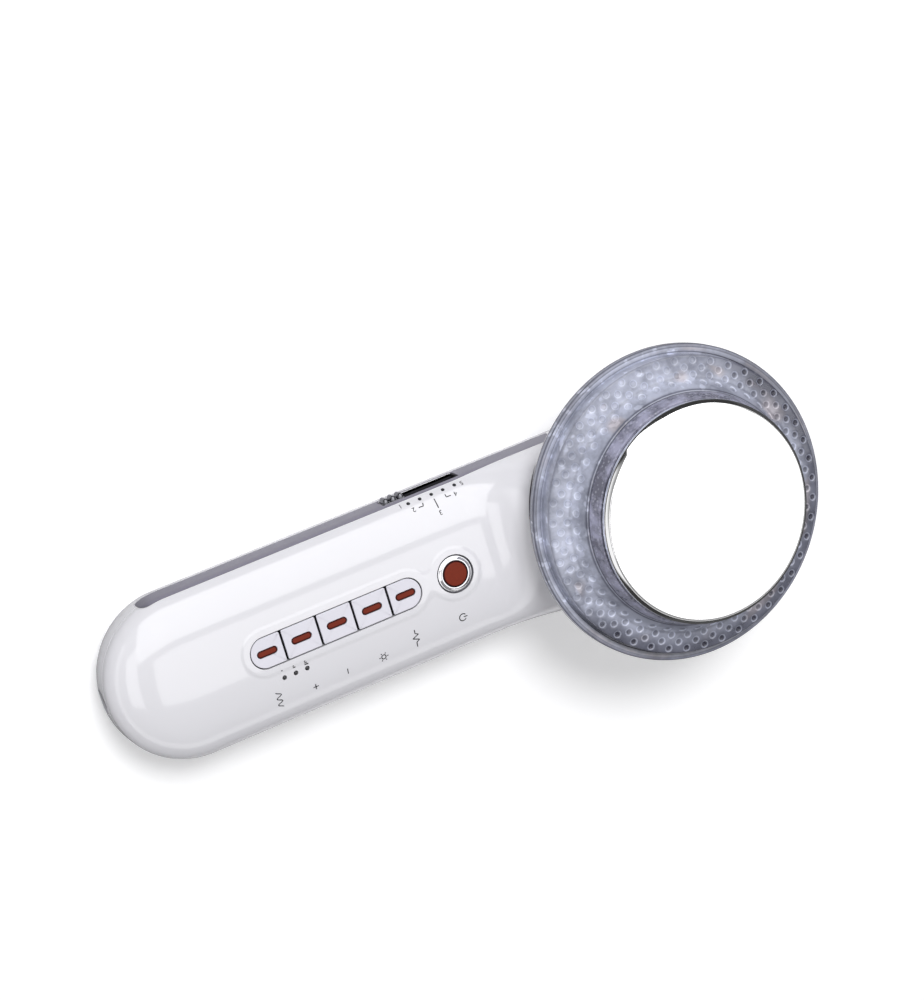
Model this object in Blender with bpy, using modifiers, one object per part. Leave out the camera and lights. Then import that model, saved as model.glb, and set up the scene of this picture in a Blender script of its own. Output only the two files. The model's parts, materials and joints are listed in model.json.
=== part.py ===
"""Ultrasonic facial device: a handheld wand with a steel probe in a clear flared head.

Metres, +Z up. The device lies on its back: the handle runs along X with its butt at -X, the
keys and the probe face +Z, and the mode slider is on the +Y side. X and Y are zero at the
middle of the whole device, and Z is zero at the flat of its back.
"""

import math

import bmesh
import bpy
from mathutils import Matrix, Vector

# Whole device
BUTT_TO_HEAD_AXIS = 0.157
HANDLE_WIDTH = 0.0449
HANDLE_THICKNESS = 0.026
HEAD_DIAMETER = 0.085
HEAD_RISE = 0.0181
WALL = 0.002

# Clearances
GAP = 0.0003
SNUG = 0.00015
OVERRUN = 0.003
OVERLAP = 0.0006
WELD = 0.000001
TURNED_WELD = 0.00001
SHARP_ANGLE = math.radians(35)
BEVEL_ANGLE = math.radians(50)

# Handle section: a crowned face, an upright side and a back that rounds to a flat
CROWN_HEIGHT = 0.0095
SIDE_HEIGHT = 0.0022
BACK_FLAT_WIDTH = 0.018
CROWN_POWER = 2.3
BACK_POWER = 2.5
RAMP_LENGTH = 0.018
RAMP_RISE = 0.0135
RAMP_TO_AXIS = 0.034
SPINE_END_TO_AXIS = 0.006
CROWN_STEPS = 7
BACK_STEPS = 5
BUTT_STEPS = 14
RAMP_STEPS = 5
HEAD_END_STEPS = 8

# White bowl of the head
BOWL_RIM_DROP = 0.0025
BOWL_INSET = 0.0009
BOWL_FLAT_RADIUS = 0.009
BOWL_POWER = 1.3
BOWL_LIFT = 0.0004
BOWL_STEPS = 7
ROUND_STEPS = 44

# Clear flared cover of the head: a lip, a groove, a shelf and a cone up to its foot
COVER_WIDTH = 0.0128
COVER_WALL = 0.0016
COVER_LIP_WIDTH = 0.0022
COVER_LIP_RADIUS = 0.0005
COVER_GROOVE = 0.0004
COVER_SHELF_RISE = 0.0034
COVER_SHELF_RADIUS = 0.0004
COVER_CONE_RISE = 0.0045
COVER_CONE_WIDTH = 0.0028
COVER_FOOT_RISE = 0.009
COVER_FOOT_WIDTH = 0.0024
DIMPLE_RADIUS = 0.001
DIMPLE_DEPTH = 0.0005
DIMPLE_SIDES = 5
SHELF_DIMPLE_RINGS = 3
DIMPLES_PER_RING = 45
DIMPLE_MARGIN = 0.0008
CONE_DIMPLE_SHARE = 0.32

# Collar, gasket and probe
COLLAR_STEP = 0.0002
COLLAR_FLARE = 0.001
COLLAR_WALL = 0.0024
COLLAR_HEIGHT = 0.0040
GASKET_THICKNESS = 0.0006
GASKET_INSET = 0.0004
PROBE_WALL = 0.0012
PROBE_HEIGHT = 0.0025
PROBE_EDGE_RADIUS = 0.0013
PROBE_SPIGOT_HEIGHT = 0.003
PROBE_STEPS = 48
EDGE_STEPS = 3
TRANSDUCER_RADIUS = 0.0125
TRANSDUCER_THICKNESS = 0.0027

# Light ring
LED_BOARD_INSET = 0.0057
LED_BOARD_WIDTH = 0.0128
BOARD_THICKNESS = 0.0016
LED_BOARD_DROP = 0.0045
LED_INSET = 0.0025
LED_RADIUS = 0.0015
LED_HEIGHT = 0.0026
LED_GROUPS = 6
LED_FIRST_ANGLE = math.radians(65)
LED_HALF_ANGLE = math.radians(5.5)
LED_POST_RADIUS = 0.0015
LED_POSTS = 3
LED_POST_INSET = 0.0029

# Keys
KEY_COUNT = 5
KEY_ROW_TO_AXIS = 0.0947
KEY_PITCH = 0.0103
KEY_ROW_WIDTH = 0.0088
KEY_ROW_LENGTH = 0.0501
KEY_SPLIT = 0.0005
KEY_RISE = 0.0002
KEY_EDGE = 0.0003
KEY_FLANGE_WIDTH = 0.0009
KEY_FLANGE_THICKNESS = 0.0008
KEY_STEM_RADIUS = 0.0016
KEY_TRAVEL = 0.0006
PRESS_SLACK = 0.0002
LENS_LENGTH = 0.0054
LENS_WIDTH = 0.0019
LENS_DEPTH = 0.0012
ARC_STEPS = 8

# Raised keyhole border round the keys and the power button
BORDER_WIDTH = 0.0024
BORDER_HEIGHT = 0.0003
BORDER_SINK = 0.0012
BORDER_NECK_WIDTH = 0.005
BORDER_STEPS = 10

# Power button and its ring
POWER_TO_KEYS = 0.0101
BEZEL_RADIUS = 0.0051
BEZEL_LIP = 0.0005
BEZEL_DISH_DEPTH = 0.0012
BEZEL_BORE_RADIUS = 0.0037
BEZEL_FLANGE = 0.0011
BEZEL_FLANGE_THICKNESS = 0.0008
POWER_RADIUS = 0.0034
POWER_PROUD = 0.0006
POWER_DOME = 0.0003
POWER_CROWN_WIDTH_SHARE = 0.6
POWER_CROWN_DROP_SHARE = 0.3
POWER_FLANGE = 0.001
POWER_FLANGE_THICKNESS = 0.0008
POWER_STEM_RADIUS = 0.0018
POWER_STEPS = 24

# Tact switches
SWITCH_SIDE = 0.006
SWITCH_HEIGHT = 0.0031
SWITCH_PLUNGER_RADIUS = 0.0015
SWITCH_PLUNGER_HEIGHT = 0.0008

# Level lights
LEVEL_COUNT = 3
LEVEL_RADIUS = 0.0005
LEVEL_FOOT_RADIUS = 0.001
LEVEL_PITCH = 0.0033
LEVEL_Y = -0.0084
LEVEL_TO_KEYS = 0.0144
LEVEL_STEPS = 10

# Main board
BOARD_DEPTH = 0.010
BOARD_WIDTH = 0.0212
BOARD_BUTT_TO_AXIS = 0.1312
BOARD_PAST_POWER = 0.00645
BOARD_POST_RADIUS = 0.002
BOARD_POST_INSET = 0.006
BOARD_POST_SPREAD = 0.0063

# Side bands
BAND_THICKNESS = 0.001
BAND_WIDTH = 0.0076
BAND_BUTT_TO_AXIS = 0.1423

# Mode slider
SLIDER_TO_AXIS = 0.0669
SLIDER_PITCH = 0.00345
SLIDER_PLACES = 5
KNOB_LENGTH = 0.0065
KNOB_WIDTH = 0.004
KNOB_PROUD = 0.0012
KNOB_RIDGES = 3
RIDGE_HEIGHT = 0.0006
RIDGE_SHARE = 0.55
TRACK_RIM = 0.0009
TRACK_MARGIN = 0.0025
TRACK_PROUD = 0.0002
SLIDE_STEM_SIDE = 0.0016
SLIDE_STEM_LENGTH = 0.0014
SLIDE_SWITCH_DEPTH = 0.0052
SLIDE_SWITCH_HEIGHT = 0.0046

# Power socket in the butt
SOCKET_DROP = 0.0145
SOCKET_HOLE_RADIUS = 0.0036
SOCKET_BORE_RADIUS = 0.00315
SOCKET_BORE_DEPTH = 0.009
SOCKET_PIN_RADIUS = 0.001
SOCKET_PIN_SET_BACK = 0.0028
SOCKET_SIDE = 0.009
SOCKET_LENGTH = 0.0125
SOCKET_STEPS = 24
CRADLE_WIDTH = 0.006

# Case screws and their bosses
SCREW_BUTT_TO_AXIS = 0.1372
SCREW_BUTT_SPREAD_SHARE = 0.444
SCREW_PAST_BOARD = 0.0051
SCREW_HEAD_SPREAD_SHARE = 0.41
SCREW_RADIUS = 0.00135
SCREW_HEAD_RADIUS = 0.0025
SCREW_HEAD_HEIGHT = 0.0018
SCREW_LENGTH = 0.0128
SCREW_SEAT_RISE = 0.0062
SCREW_TIP_SHARE = 0.6
SCREW_CROWN_SHARE = 0.7
BOSS_WALL = 0.0013
PILOT_DEPTH = 0.006
BOSS_STEPS = 12

# Inside parts
DRIVE_COIL_LENGTH = 0.014
DRIVE_COIL_WIDTH = 0.012
DRIVE_COIL_HEIGHT = 0.009
DRIVE_COIL_WALL = 0.0015
LEAD_RADIUS = 0.0006
LEAD_SPREAD = 0.003
LEAD_POINTS = 10

# Places that follow from the sizes above
HEAD_RADIUS = HEAD_DIAMETER / 2
PROBE_RADIUS = HEAD_RADIUS - COVER_WIDTH
COLLAR_TOP_RADIUS = PROBE_RADIUS + COLLAR_STEP
COLLAR_BORE_RADIUS = COLLAR_TOP_RADIUS - COLLAR_WALL
COLLAR_FOOT_RADIUS = COLLAR_TOP_RADIUS + COLLAR_FLARE
COVER_FOOT_RADIUS = COLLAR_FOOT_RADIUS + COLLAR_STEP
COVER_BORE_RADIUS = COVER_FOOT_RADIUS - COVER_FOOT_WIDTH
LED_BOARD_OUTER_RADIUS = HEAD_RADIUS - LED_BOARD_INSET
LED_BOARD_INNER_RADIUS = LED_BOARD_OUTER_RADIUS - LED_BOARD_WIDTH
LED_CIRCLE_RADIUS = LED_BOARD_OUTER_RADIUS - LED_INSET
LED_POST_CIRCLE_RADIUS = LED_BOARD_OUTER_RADIUS - LED_POST_INSET
HEAD_X = (BUTT_TO_HEAD_AXIS - HEAD_RADIUS) / 2
BUTT_X = HEAD_X - BUTT_TO_HEAD_AXIS
HALF_WIDTH = HANDLE_WIDTH / 2
BUTT_CENTRE_X = BUTT_X + HALF_WIDTH
FACE_Z = HANDLE_THICKNESS
SIDE_TOP_Z = FACE_Z - CROWN_HEIGHT
SIDE_LOW_Z = SIDE_TOP_Z - SIDE_HEIGHT
SPLIT_Z = (SIDE_TOP_Z + SIDE_LOW_Z) / 2
RIM_Z = FACE_Z + HEAD_RISE
FOOT_Z = RIM_Z + COVER_FOOT_RISE
COLLAR_Z = FOOT_Z + GAP
GASKET_Z = COLLAR_Z + COLLAR_HEIGHT + GAP
PROBE_Z = GASKET_Z + GASKET_THICKNESS + GAP
PROBE_TOP_Z = PROBE_Z + PROBE_HEIGHT
BOARD_TOP_Z = FACE_Z - BOARD_DEPTH
SWITCH_TOP_Z = BOARD_TOP_Z + GAP + SWITCH_HEIGHT + SWITCH_PLUNGER_HEIGHT
STEM_END_Z = SWITCH_TOP_Z + KEY_TRAVEL + PRESS_SLACK
KEY_X = HEAD_X - KEY_ROW_TO_AXIS
POWER_X = KEY_X + KEY_ROW_LENGTH / 2 + POWER_TO_KEYS
BOARD_BUTT_X = HEAD_X - BOARD_BUTT_TO_AXIS
BOARD_HEAD_X = POWER_X + BOARD_PAST_POWER
BORDER_Z = FACE_Z + BORDER_HEIGHT
LED_BOARD_Z = RIM_Z - LED_BOARD_DROP
SOCKET_Z = FACE_Z - SOCKET_DROP
SLIDER_TRAVEL = SLIDER_PITCH * (SLIDER_PLACES - 1)
SLIDER_X = HEAD_X - SLIDER_TO_AXIS
SLOT_X = SLIDER_X + SLIDER_TRAVEL / 2
SLOT_LENGTH = KNOB_LENGTH + SLIDER_TRAVEL + 2 * GAP
SLOT_WIDTH = KNOB_WIDTH + 2 * GAP
TRACK_LENGTH = KNOB_LENGTH + SLIDER_TRAVEL + 2 * TRACK_MARGIN
TRACK_WIDTH = SLOT_WIDTH + 2 * TRACK_RIM
BAND_Y = HALF_WIDTH - BAND_THICKNESS
KNOB_Y = BAND_Y - WALL / 2
DEVICE = "ultrasonic_facial_device"
CUTTERS = "cutters"


def clear_scene():
    for obj in list(bpy.data.objects):
        bpy.data.objects.remove(obj)
    for name in (DEVICE, CUTTERS):
        bpy.context.scene.collection.children.link(bpy.data.collections.new(name))


def material(name, colour, roughness, metallic=0.0, transmission=0.0):
    """The named Principled material, made the first time it is asked for."""
    found = bpy.data.materials.get(name)
    if found:
        return found
    made = bpy.data.materials.new(name)
    made.use_nodes = True
    shader = made.node_tree.nodes["Principled BSDF"]
    shader.inputs["Base Color"].default_value = (*colour, 1.0)
    shader.inputs["Roughness"].default_value = roughness
    shader.inputs["Metallic"].default_value = metallic
    shader.inputs["Transmission Weight"].default_value = transmission
    return made


def white_plastic():
    return material("white_plastic", (0.86, 0.86, 0.89), 0.12)


def key_plastic():
    return material("key_plastic", (0.78, 0.78, 0.84), 0.25)


def grey_plastic():
    return material("grey_plastic", (0.25, 0.24, 0.30), 0.35)


def red_plastic():
    return material("red_plastic", (0.19, 0.035, 0.025), 0.3)


def black_plastic():
    return material("black_plastic", (0.02, 0.02, 0.02), 0.45)


def chrome():
    return material("chrome", (0.80, 0.80, 0.82), 0.08, metallic=1.0)


def steel():
    return material("polished_steel", (0.75, 0.75, 0.76), 0.1, metallic=1.0)


def clear_lavender():
    return material("clear_lavender", (0.62, 0.63, 0.78), 0.08, transmission=0.8)


def frosted_lavender():
    return material("frosted_lavender", (0.33, 0.33, 0.42), 0.4, transmission=0.4)


def rubber():
    return material("rubber", (0.03, 0.03, 0.035), 0.7)


def circuit_board():
    return material("circuit_board", (0.05, 0.25, 0.10), 0.5)


def led_resin():
    return material("led_resin", (0.85, 0.75, 0.60), 0.2)


def ceramic():
    return material("ceramic", (0.62, 0.58, 0.50), 0.6)


def smooth(mesh):
    mesh.shade_smooth()
    mesh.set_sharp_from_angle(angle=SHARP_ANGLE)


def place(name, mesh, finish, location=(0, 0, 0)):
    """A new object of the device, or a hidden cutter when it has no finish."""
    obj = bpy.data.objects.new(name, mesh)
    obj.location = location
    if finish is None:
        obj.hide_render = True
        obj.display_type = "WIRE"
    else:
        mesh.materials.append(finish)
    bpy.data.collections[CUTTERS if finish is None else DEVICE].objects.link(obj)
    return obj


def from_bmesh(name, bm, finish, location=(0, 0, 0)):
    bmesh.ops.recalc_face_normals(bm, faces=bm.faces)
    mesh = bpy.data.meshes.new(name)
    bm.to_mesh(mesh)
    bm.free()
    smooth(mesh)
    return place(name, mesh, finish, location)


def combine(obj, other, operation):
    change = obj.modifiers.new(other.name, "BOOLEAN")
    change.operation = operation
    change.object = other
    return obj


def cut(obj, *others):
    for other in others:
        combine(obj, other, "DIFFERENCE")
    return obj


def join(obj, *others):
    for other in others:
        combine(obj, other, "UNION")
    return obj


def bevel(obj, width, segments=2):
    change = obj.modifiers.new("edges", "BEVEL")
    change.width = width
    change.segments = segments
    change.limit_method = "ANGLE"
    change.angle_limit = BEVEL_ANGLE
    return obj


def block(name, size, centre, finish=None):
    bm = bmesh.new()
    bmesh.ops.create_cube(bm, size=1)
    bmesh.ops.scale(bm, vec=size, verts=bm.verts)
    return from_bmesh(name, bm, finish, centre)


def rod(name, radius, low, high, finish=None, steps=BOSS_STEPS):
    """An upright cylinder from the point low to the height high."""
    bm = bmesh.new()
    height = high - low[2]
    bmesh.ops.create_cone(
        bm, cap_ends=True, segments=steps, radius1=radius, radius2=radius, depth=height
    )
    bmesh.ops.translate(bm, vec=(0, 0, height / 2), verts=bm.verts)
    return from_bmesh(name, bm, finish, low)


def rods(name, places, steps=BOSS_STEPS):
    """Several upright cylinders as one cutter or filler: (radius, low point, top height) each."""
    bm = bmesh.new()
    for radius, low, high in places:
        height = high - low[2]
        middle = Matrix.Translation((low[0], low[1], low[2] + height / 2))
        bmesh.ops.create_cone(
            bm, cap_ends=True, segments=steps, radius1=radius, radius2=radius, depth=height, matrix=middle
        )
    return from_bmesh(name, bm, None)


def prism(name, outline, low, high, finish=None, along="Z", location=(0, 0, 0)):
    """A flat outline carried from low to high along Z, or along Y with the outline in X and Z."""
    bm = bmesh.new()
    face = bm.faces.new([bm.verts.new((x, y, low)) for x, y in outline])
    top = bmesh.ops.extrude_face_region(bm, geom=[face])["geom"]
    moved = [item for item in top if isinstance(item, bmesh.types.BMVert)]
    bmesh.ops.translate(bm, vec=(0, 0, high - low), verts=moved)
    if along == "Y":
        swap = Matrix(((1, 0, 0, 0), (0, 0, 1, 0), (0, 1, 0, 0), (0, 0, 0, 1)))
        bmesh.ops.transform(bm, matrix=swap, verts=bm.verts)
    return from_bmesh(name, bm, finish, location)


def arc(centre, radius, start, end, steps):
    """Points on an arc, with both ends, angles in degrees."""
    points = []
    for step in range(steps + 1):
        angle = math.radians(start + (end - start) * step / steps)
        points.append((centre[0] + radius * math.cos(angle), centre[1] + radius * math.sin(angle)))
    return points


def slot_outline(length, width, steps=ARC_STEPS):
    """A slot with round ends, long in X and centred."""
    reach = (length - width) / 2
    right = arc((reach, 0), width / 2, -90, 90, steps)
    left = arc((-reach, 0), width / 2, 90, 270, steps)
    return right + left


def turned(name, profile, location, finish=None, steps=ROUND_STEPS, closed=False):
    """A solid turned about Z. The profile runs down its outer side, as (radius, height)."""
    mesh = bpy.data.meshes.new(name)
    points = [(radius, 0, height) for radius, height in profile]
    edges = [(i, i + 1) for i in range(len(points) - 1)]
    if closed:
        edges.append((len(points) - 1, 0))
    mesh.from_pydata(points, edges, [])
    obj = place(name, mesh, finish, location)
    screw = obj.modifiers.new("turn", "SCREW")
    screw.steps = steps
    screw.render_steps = steps
    screw.use_merge_vertices = True
    screw.merge_threshold = TURNED_WELD
    screw.use_smooth_shade = True
    return obj


def superellipse(steps, half_width, height, power):
    """A quarter of a superellipse as (offset, rise), from its top centre to its side."""
    points = []
    for step in range(steps + 1):
        angle = math.pi / 2 * (1 - step / steps)
        across = half_width * max(math.cos(angle), 0) ** (2 / power)
        points.append((across, height * max(math.sin(angle), 0) ** (2 / power)))
    points[0] = (0.0, height)
    points[-1] = (half_width, 0.0)
    return points


def handle_profile(inset):
    """Half of the handle's section as (offset, height, share of the ramp), top to bottom."""
    half = HALF_WIDTH - inset
    crown = CROWN_HEIGHT - inset
    profile = []
    for across, rise in superellipse(CROWN_STEPS, half, crown, CROWN_POWER):
        profile.append((across, SIDE_TOP_Z + rise, rise / crown))
    flat = BACK_FLAT_WIDTH / 2
    depth = SIDE_LOW_Z - inset
    corner = superellipse(BACK_STEPS, half - flat, depth, BACK_POWER)
    for across, drop in reversed(corner):
        profile.append((flat + across, SIDE_LOW_Z - drop, 0.0))
    profile.append((0.0, inset, 0.0))
    return profile


def face_height(across, inset=0.0):
    """The height of the face, or of its underside, at an offset from the handle's middle."""
    share = across / (HALF_WIDTH - inset)
    return SIDE_TOP_Z + (CROWN_HEIGHT - inset) * (1 - share**CROWN_POWER) ** (1 / CROWN_POWER)


def ramp_height(x):
    """How far the face has risen towards the head at x: a parabola that leaves the face level."""
    start = HEAD_X - RAMP_TO_AXIS - RAMP_LENGTH
    share = min(max((x - start) / RAMP_LENGTH, 0), 1)
    return RAMP_RISE * share**2


def handle_path():
    """The stations round the handle in plan: (centre x, angle of the section)."""
    start = HEAD_X - RAMP_TO_AXIS - RAMP_LENGTH
    end = HEAD_X - SPINE_END_TO_AXIS
    ramp = [start + RAMP_LENGTH * step / RAMP_STEPS for step in range(RAMP_STEPS + 1)]
    path = []
    for step in range(BUTT_STEPS + 1):
        path.append((BUTT_CENTRE_X, math.pi / 2 + math.pi * step / BUTT_STEPS))
    path += [(x, -math.pi / 2) for x in ramp]
    for step in range(HEAD_END_STEPS + 1):
        path.append((end, -math.pi / 2 + math.pi * step / HEAD_END_STEPS))
    path += [(x, math.pi / 2) for x in reversed(ramp)]
    return path


def handle_solid(name, inset, finish=None):
    """The handle's outer form, drawn in by an inset: one section carried round its plan."""
    profile = handle_profile(inset)
    path = handle_path()
    bm = bmesh.new()
    bmesh.ops.create_grid(bm, x_segments=len(path), y_segments=len(profile) - 1, size=1)
    for vert in bm.verts:
        station = round((vert.co.x + 1) / 2 * len(path)) % len(path)
        centre, angle = path[station]
        across, height, share = profile[round((1 - vert.co.y) / 2 * (len(profile) - 1))]
        x = centre + across * math.cos(angle)
        vert.co = (x, across * math.sin(angle), height + share * ramp_height(x))
    bmesh.ops.remove_doubles(bm, verts=bm.verts, dist=WELD)
    return from_bmesh(name, bm, finish)


def bowl_profile(inset):
    """The bowl's outer side from its rim down to the middle of its back, drawn in by an inset."""
    top = RIM_Z - BOWL_RIM_DROP
    low = BOWL_LIFT + inset
    reach = HEAD_RADIUS - BOWL_INSET - inset - BOWL_FLAT_RADIUS
    curve = superellipse(BOWL_STEPS, reach, top - low, BOWL_POWER)
    side = [(BOWL_FLAT_RADIUS + across, top - drop) for across, drop in reversed(curve)]
    return side + [(0.0, low)]


def bowl_solid(name, inset, finish=None, open_top=0.0):
    profile = bowl_profile(inset)
    rim = profile[0]
    head = [(0.0, rim[1] + open_top)]
    if open_top:
        head.append((rim[0], rim[1] + open_top))
    return turned(name, head + profile, (HEAD_X, 0, 0), finish)


def screw_places():
    butt = HEAD_X - SCREW_BUTT_TO_AXIS
    head = BOARD_HEAD_X + SCREW_PAST_BOARD
    butt_spread = HALF_WIDTH * SCREW_BUTT_SPREAD_SHARE
    head_spread = HALF_WIDTH * SCREW_HEAD_SPREAD_SHARE
    return (
        (butt, butt_spread),
        (butt, -butt_spread),
        (head, head_spread),
        (head, -head_spread),
    )


def key_row_outline(grow):
    return slot_outline(KEY_ROW_LENGTH + 2 * grow, KEY_ROW_WIDTH + 2 * grow, BORDER_STEPS)


def border():
    """The raised keyhole round the key row and the power ring."""
    low = FACE_Z - BORDER_SINK
    row = prism("border_row", key_row_outline(BORDER_WIDTH), low, BORDER_Z, location=(KEY_X, 0, 0))
    radius = BEZEL_RADIUS + BORDER_WIDTH
    ring = rod("border_ring", radius, (POWER_X, 0, low), BORDER_Z, steps=POWER_STEPS)
    reach = POWER_X - KEY_X
    neck = block(
        "border_neck",
        (reach, BORDER_NECK_WIDTH, BORDER_SINK + BORDER_HEIGHT - SNUG),
        ((KEY_X + POWER_X) / 2, 0, (low + BORDER_Z - SNUG) / 2),
    )
    return row, ring, neck


def face_holes():
    """Cutters for the key row, the power ring and the level lights."""
    low = SPLIT_Z - OVERRUN
    high = BORDER_Z + OVERRUN
    row = prism("key_row_hole", key_row_outline(0), low, high, location=(KEY_X, 0, 0))
    ring = rod("power_hole", BEZEL_RADIUS + GAP, (POWER_X, 0, low), high, steps=POWER_STEPS)
    lights = [(LEVEL_RADIUS + SNUG, (x, LEVEL_Y, low), high) for x in level_places()]
    return row, ring, rods("level_holes", lights, LEVEL_STEPS)


def level_places():
    middle = KEY_X - LEVEL_TO_KEYS
    return [middle + LEVEL_PITCH * (index - (LEVEL_COUNT - 1) / 2) for index in range(LEVEL_COUNT)]


def band_outline(grow):
    """The band in X and Z: round at the butt, square where it stops short of the bowl."""
    radius = BAND_WIDTH / 2 + grow
    butt = HEAD_X - BAND_BUTT_TO_AXIS + BAND_WIDTH / 2
    bowl = bowl_radius(SPLIT_Z + BAND_WIDTH / 2) + 2 * GAP
    head = HEAD_X - math.sqrt(bowl**2 - BAND_Y**2) + grow
    return arc((butt, SPLIT_Z), radius, 90, 270, ARC_STEPS) + [
        (head, SPLIT_Z - radius),
        (head, SPLIT_Z + radius),
    ]


def band_recess(name, side):
    """The shallow seat that a side band drops into."""
    inner = BAND_Y - SNUG
    outer = HALF_WIDTH + OVERRUN
    low, high = (inner, outer) if side > 0 else (-outer, -inner)
    return prism(name, band_outline(SNUG), low, high, along="Y")


def slot_block(name, length, width, low, high, finish=None):
    size = (length, high - low, width)
    return block(name, size, (SLOT_X, (low + high) / 2, SPLIT_Z), finish)


def shell_slot(name):
    """The opening for the mode slider, cut through the side of a shell."""
    low = BAND_Y - WALL * 2
    return slot_block(name, SLOT_LENGTH + 2 * GAP, SLOT_WIDTH + 2 * GAP, low, HALF_WIDTH + OVERRUN)


def front_shell():
    """The upper half of the handle: crowned face, ramp to the head, holes and screw bosses."""
    shell = handle_solid("front_shell", 0, white_plastic())
    join(shell, *border())
    cut(shell, handle_solid("front_hollow", WALL), socket_seat("front_socket_seat"))
    reach = BUTT_TO_HEAD_AXIS + HALF_WIDTH
    low = SPLIT_Z + GAP
    outer = SCREW_RADIUS + GAP + BOSS_WALL
    posts = []
    pilots = []
    for x, y in screw_places():
        top = face_height(abs(y) + outer) - WALL / 2 + ramp_height(x - outer)
        posts.append((outer, (x, y, low), top))
        pilots.append((SCREW_RADIUS + GAP, (x, y, low - OVERRUN), low + PILOT_DEPTH))
    join(shell, rods("front_bosses", posts))
    cut(shell, rods("pilots", pilots))
    low_half = block(
        "front_split",
        (2 * reach, HANDLE_WIDTH + 2 * OVERRUN, SPLIT_Z + SNUG + OVERRUN),
        (HEAD_X - reach / 2, 0, (SPLIT_Z + SNUG - OVERRUN) / 2),
    )
    cut(shell, low_half, bowl_solid("front_head_clearance", -GAP, open_top=OVERRUN + RAMP_RISE))
    cut(shell, *face_holes())
    cut(shell, band_recess("front_band_left", 1), band_recess("front_band_right", -1))
    cut(shell, shell_slot("front_slot"))
    return shell


def back_shell():
    """The lower half of the handle in one moulding with the bowl of the head."""
    shell = handle_solid("back_shell", 0, white_plastic())
    reach = BUTT_TO_HEAD_AXIS + HALF_WIDTH
    top = RIM_Z + OVERRUN
    upper = block(
        "back_split",
        (2 * reach, HANDLE_WIDTH + 2 * OVERRUN, top - SPLIT_Z + SNUG),
        (HEAD_X - reach / 2, 0, (top + SPLIT_Z - SNUG) / 2),
    )
    cut(shell, upper)
    join(shell, bowl_solid("bowl", 0))
    cut(shell, handle_solid("back_hollow", WALL), bowl_solid("bowl_hollow", WALL, open_top=OVERRUN))
    cut(shell, socket_seat("back_socket_seat"))
    join(shell, rods("back_posts", back_bosses() + board_posts() + light_posts()), socket_cradle())
    ways = [(SCREW_RADIUS + GAP, (x, y, -OVERRUN), SPLIT_Z + OVERRUN) for x, y in screw_places()]
    sinks = [(SCREW_HEAD_RADIUS + GAP, (x, y, -OVERRUN), SCREW_SEAT_RISE) for x, y in screw_places()]
    cut(shell, rods("screw_ways", ways), rods("screw_sinks", sinks))
    cut(shell, band_recess("back_band_left", 1), band_recess("back_band_right", -1), socket_hole())
    cut(shell, shell_slot("back_slot"))
    return shell


def back_bosses():
    outer = SCREW_HEAD_RADIUS + GAP + BOSS_WALL
    return [(outer, (x, y, WALL - OVERLAP), SPLIT_Z - GAP) for x, y in screw_places()]


def board_posts():
    butt = BOARD_BUTT_X + BOARD_POST_INSET
    head = BOARD_HEAD_X - BOARD_POST_INSET
    top = BOARD_TOP_Z - BOARD_THICKNESS - GAP
    low = WALL - OVERLAP
    sides = (BOARD_POST_SPREAD, -BOARD_POST_SPREAD)
    return [(BOARD_POST_RADIUS, (x, y, low), top) for x in (butt, head) for y in sides]


def light_posts():
    """Posts that stand on the bowl's slope and carry the light ring's board."""
    top = LED_BOARD_Z - BOARD_THICKNESS - GAP
    posts = []
    for number in range(LED_POSTS):
        angle = math.tau * number / LED_POSTS
        x = HEAD_X + LED_POST_CIRCLE_RADIUS * math.cos(angle)
        y = LED_POST_CIRCLE_RADIUS * math.sin(angle)
        low = bowl_height(LED_POST_CIRCLE_RADIUS + LED_POST_RADIUS) + WALL / 2
        posts.append((LED_POST_RADIUS, (x, y, low), top))
    return posts


def bowl_height(radius):
    """The height of the bowl's outer surface at a radius from the head's axis."""
    top = RIM_Z - BOWL_RIM_DROP
    reach = HEAD_RADIUS - BOWL_INSET - BOWL_FLAT_RADIUS
    share = (radius - BOWL_FLAT_RADIUS) / reach
    return top - (top - BOWL_LIFT) * (1 - share**BOWL_POWER) ** (1 / BOWL_POWER)


def bowl_radius(height):
    """The radius of the bowl's outer surface at a height."""
    top = RIM_Z - BOWL_RIM_DROP
    reach = HEAD_RADIUS - BOWL_INSET - BOWL_FLAT_RADIUS
    share = (top - height) / (top - BOWL_LIFT)
    return BOWL_FLAT_RADIUS + reach * (1 - share**BOWL_POWER) ** (1 / BOWL_POWER)


def socket_x():
    """Where the face of the power socket lies, just inside the butt's wall."""
    return BUTT_X + WALL + GAP


def socket_cradle():
    """The block on the floor of the back shell that the socket sits on."""
    top = SOCKET_Z - SOCKET_SIDE / 2 - GAP
    low = WALL / 2
    size = (SOCKET_LENGTH - 2 * WALL, CRADLE_WIDTH, top - low)
    return block("socket_cradle", size, (socket_x() + SOCKET_LENGTH / 2 + WALL / 2, 0, (top + low) / 2))


def socket_seat(name):
    """The pocket in the butt's curved wall that the square socket fits into."""
    side = SOCKET_SIDE + 2 * GAP
    centre = (socket_x() + SOCKET_LENGTH / 2, 0, SOCKET_Z)
    return block(name, (SOCKET_LENGTH + 2 * GAP, side, side), centre)


def sideways_rod(name, radius, x, length, finish=None, steps=SOCKET_STEPS):
    """A cylinder along +X from x, at the height of the socket."""
    bm = bmesh.new()
    bmesh.ops.create_cone(
        bm, cap_ends=True, segments=steps, radius1=radius, radius2=radius, depth=length
    )
    bmesh.ops.rotate(bm, matrix=Matrix.Rotation(math.pi / 2, 3, "Y"), verts=bm.verts)
    return from_bmesh(name, bm, finish, (x + length / 2, 0, SOCKET_Z))


def socket_hole():
    return sideways_rod("socket_hole", SOCKET_HOLE_RADIUS, BUTT_X - OVERRUN, WALL * 2 + OVERRUN)


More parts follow.
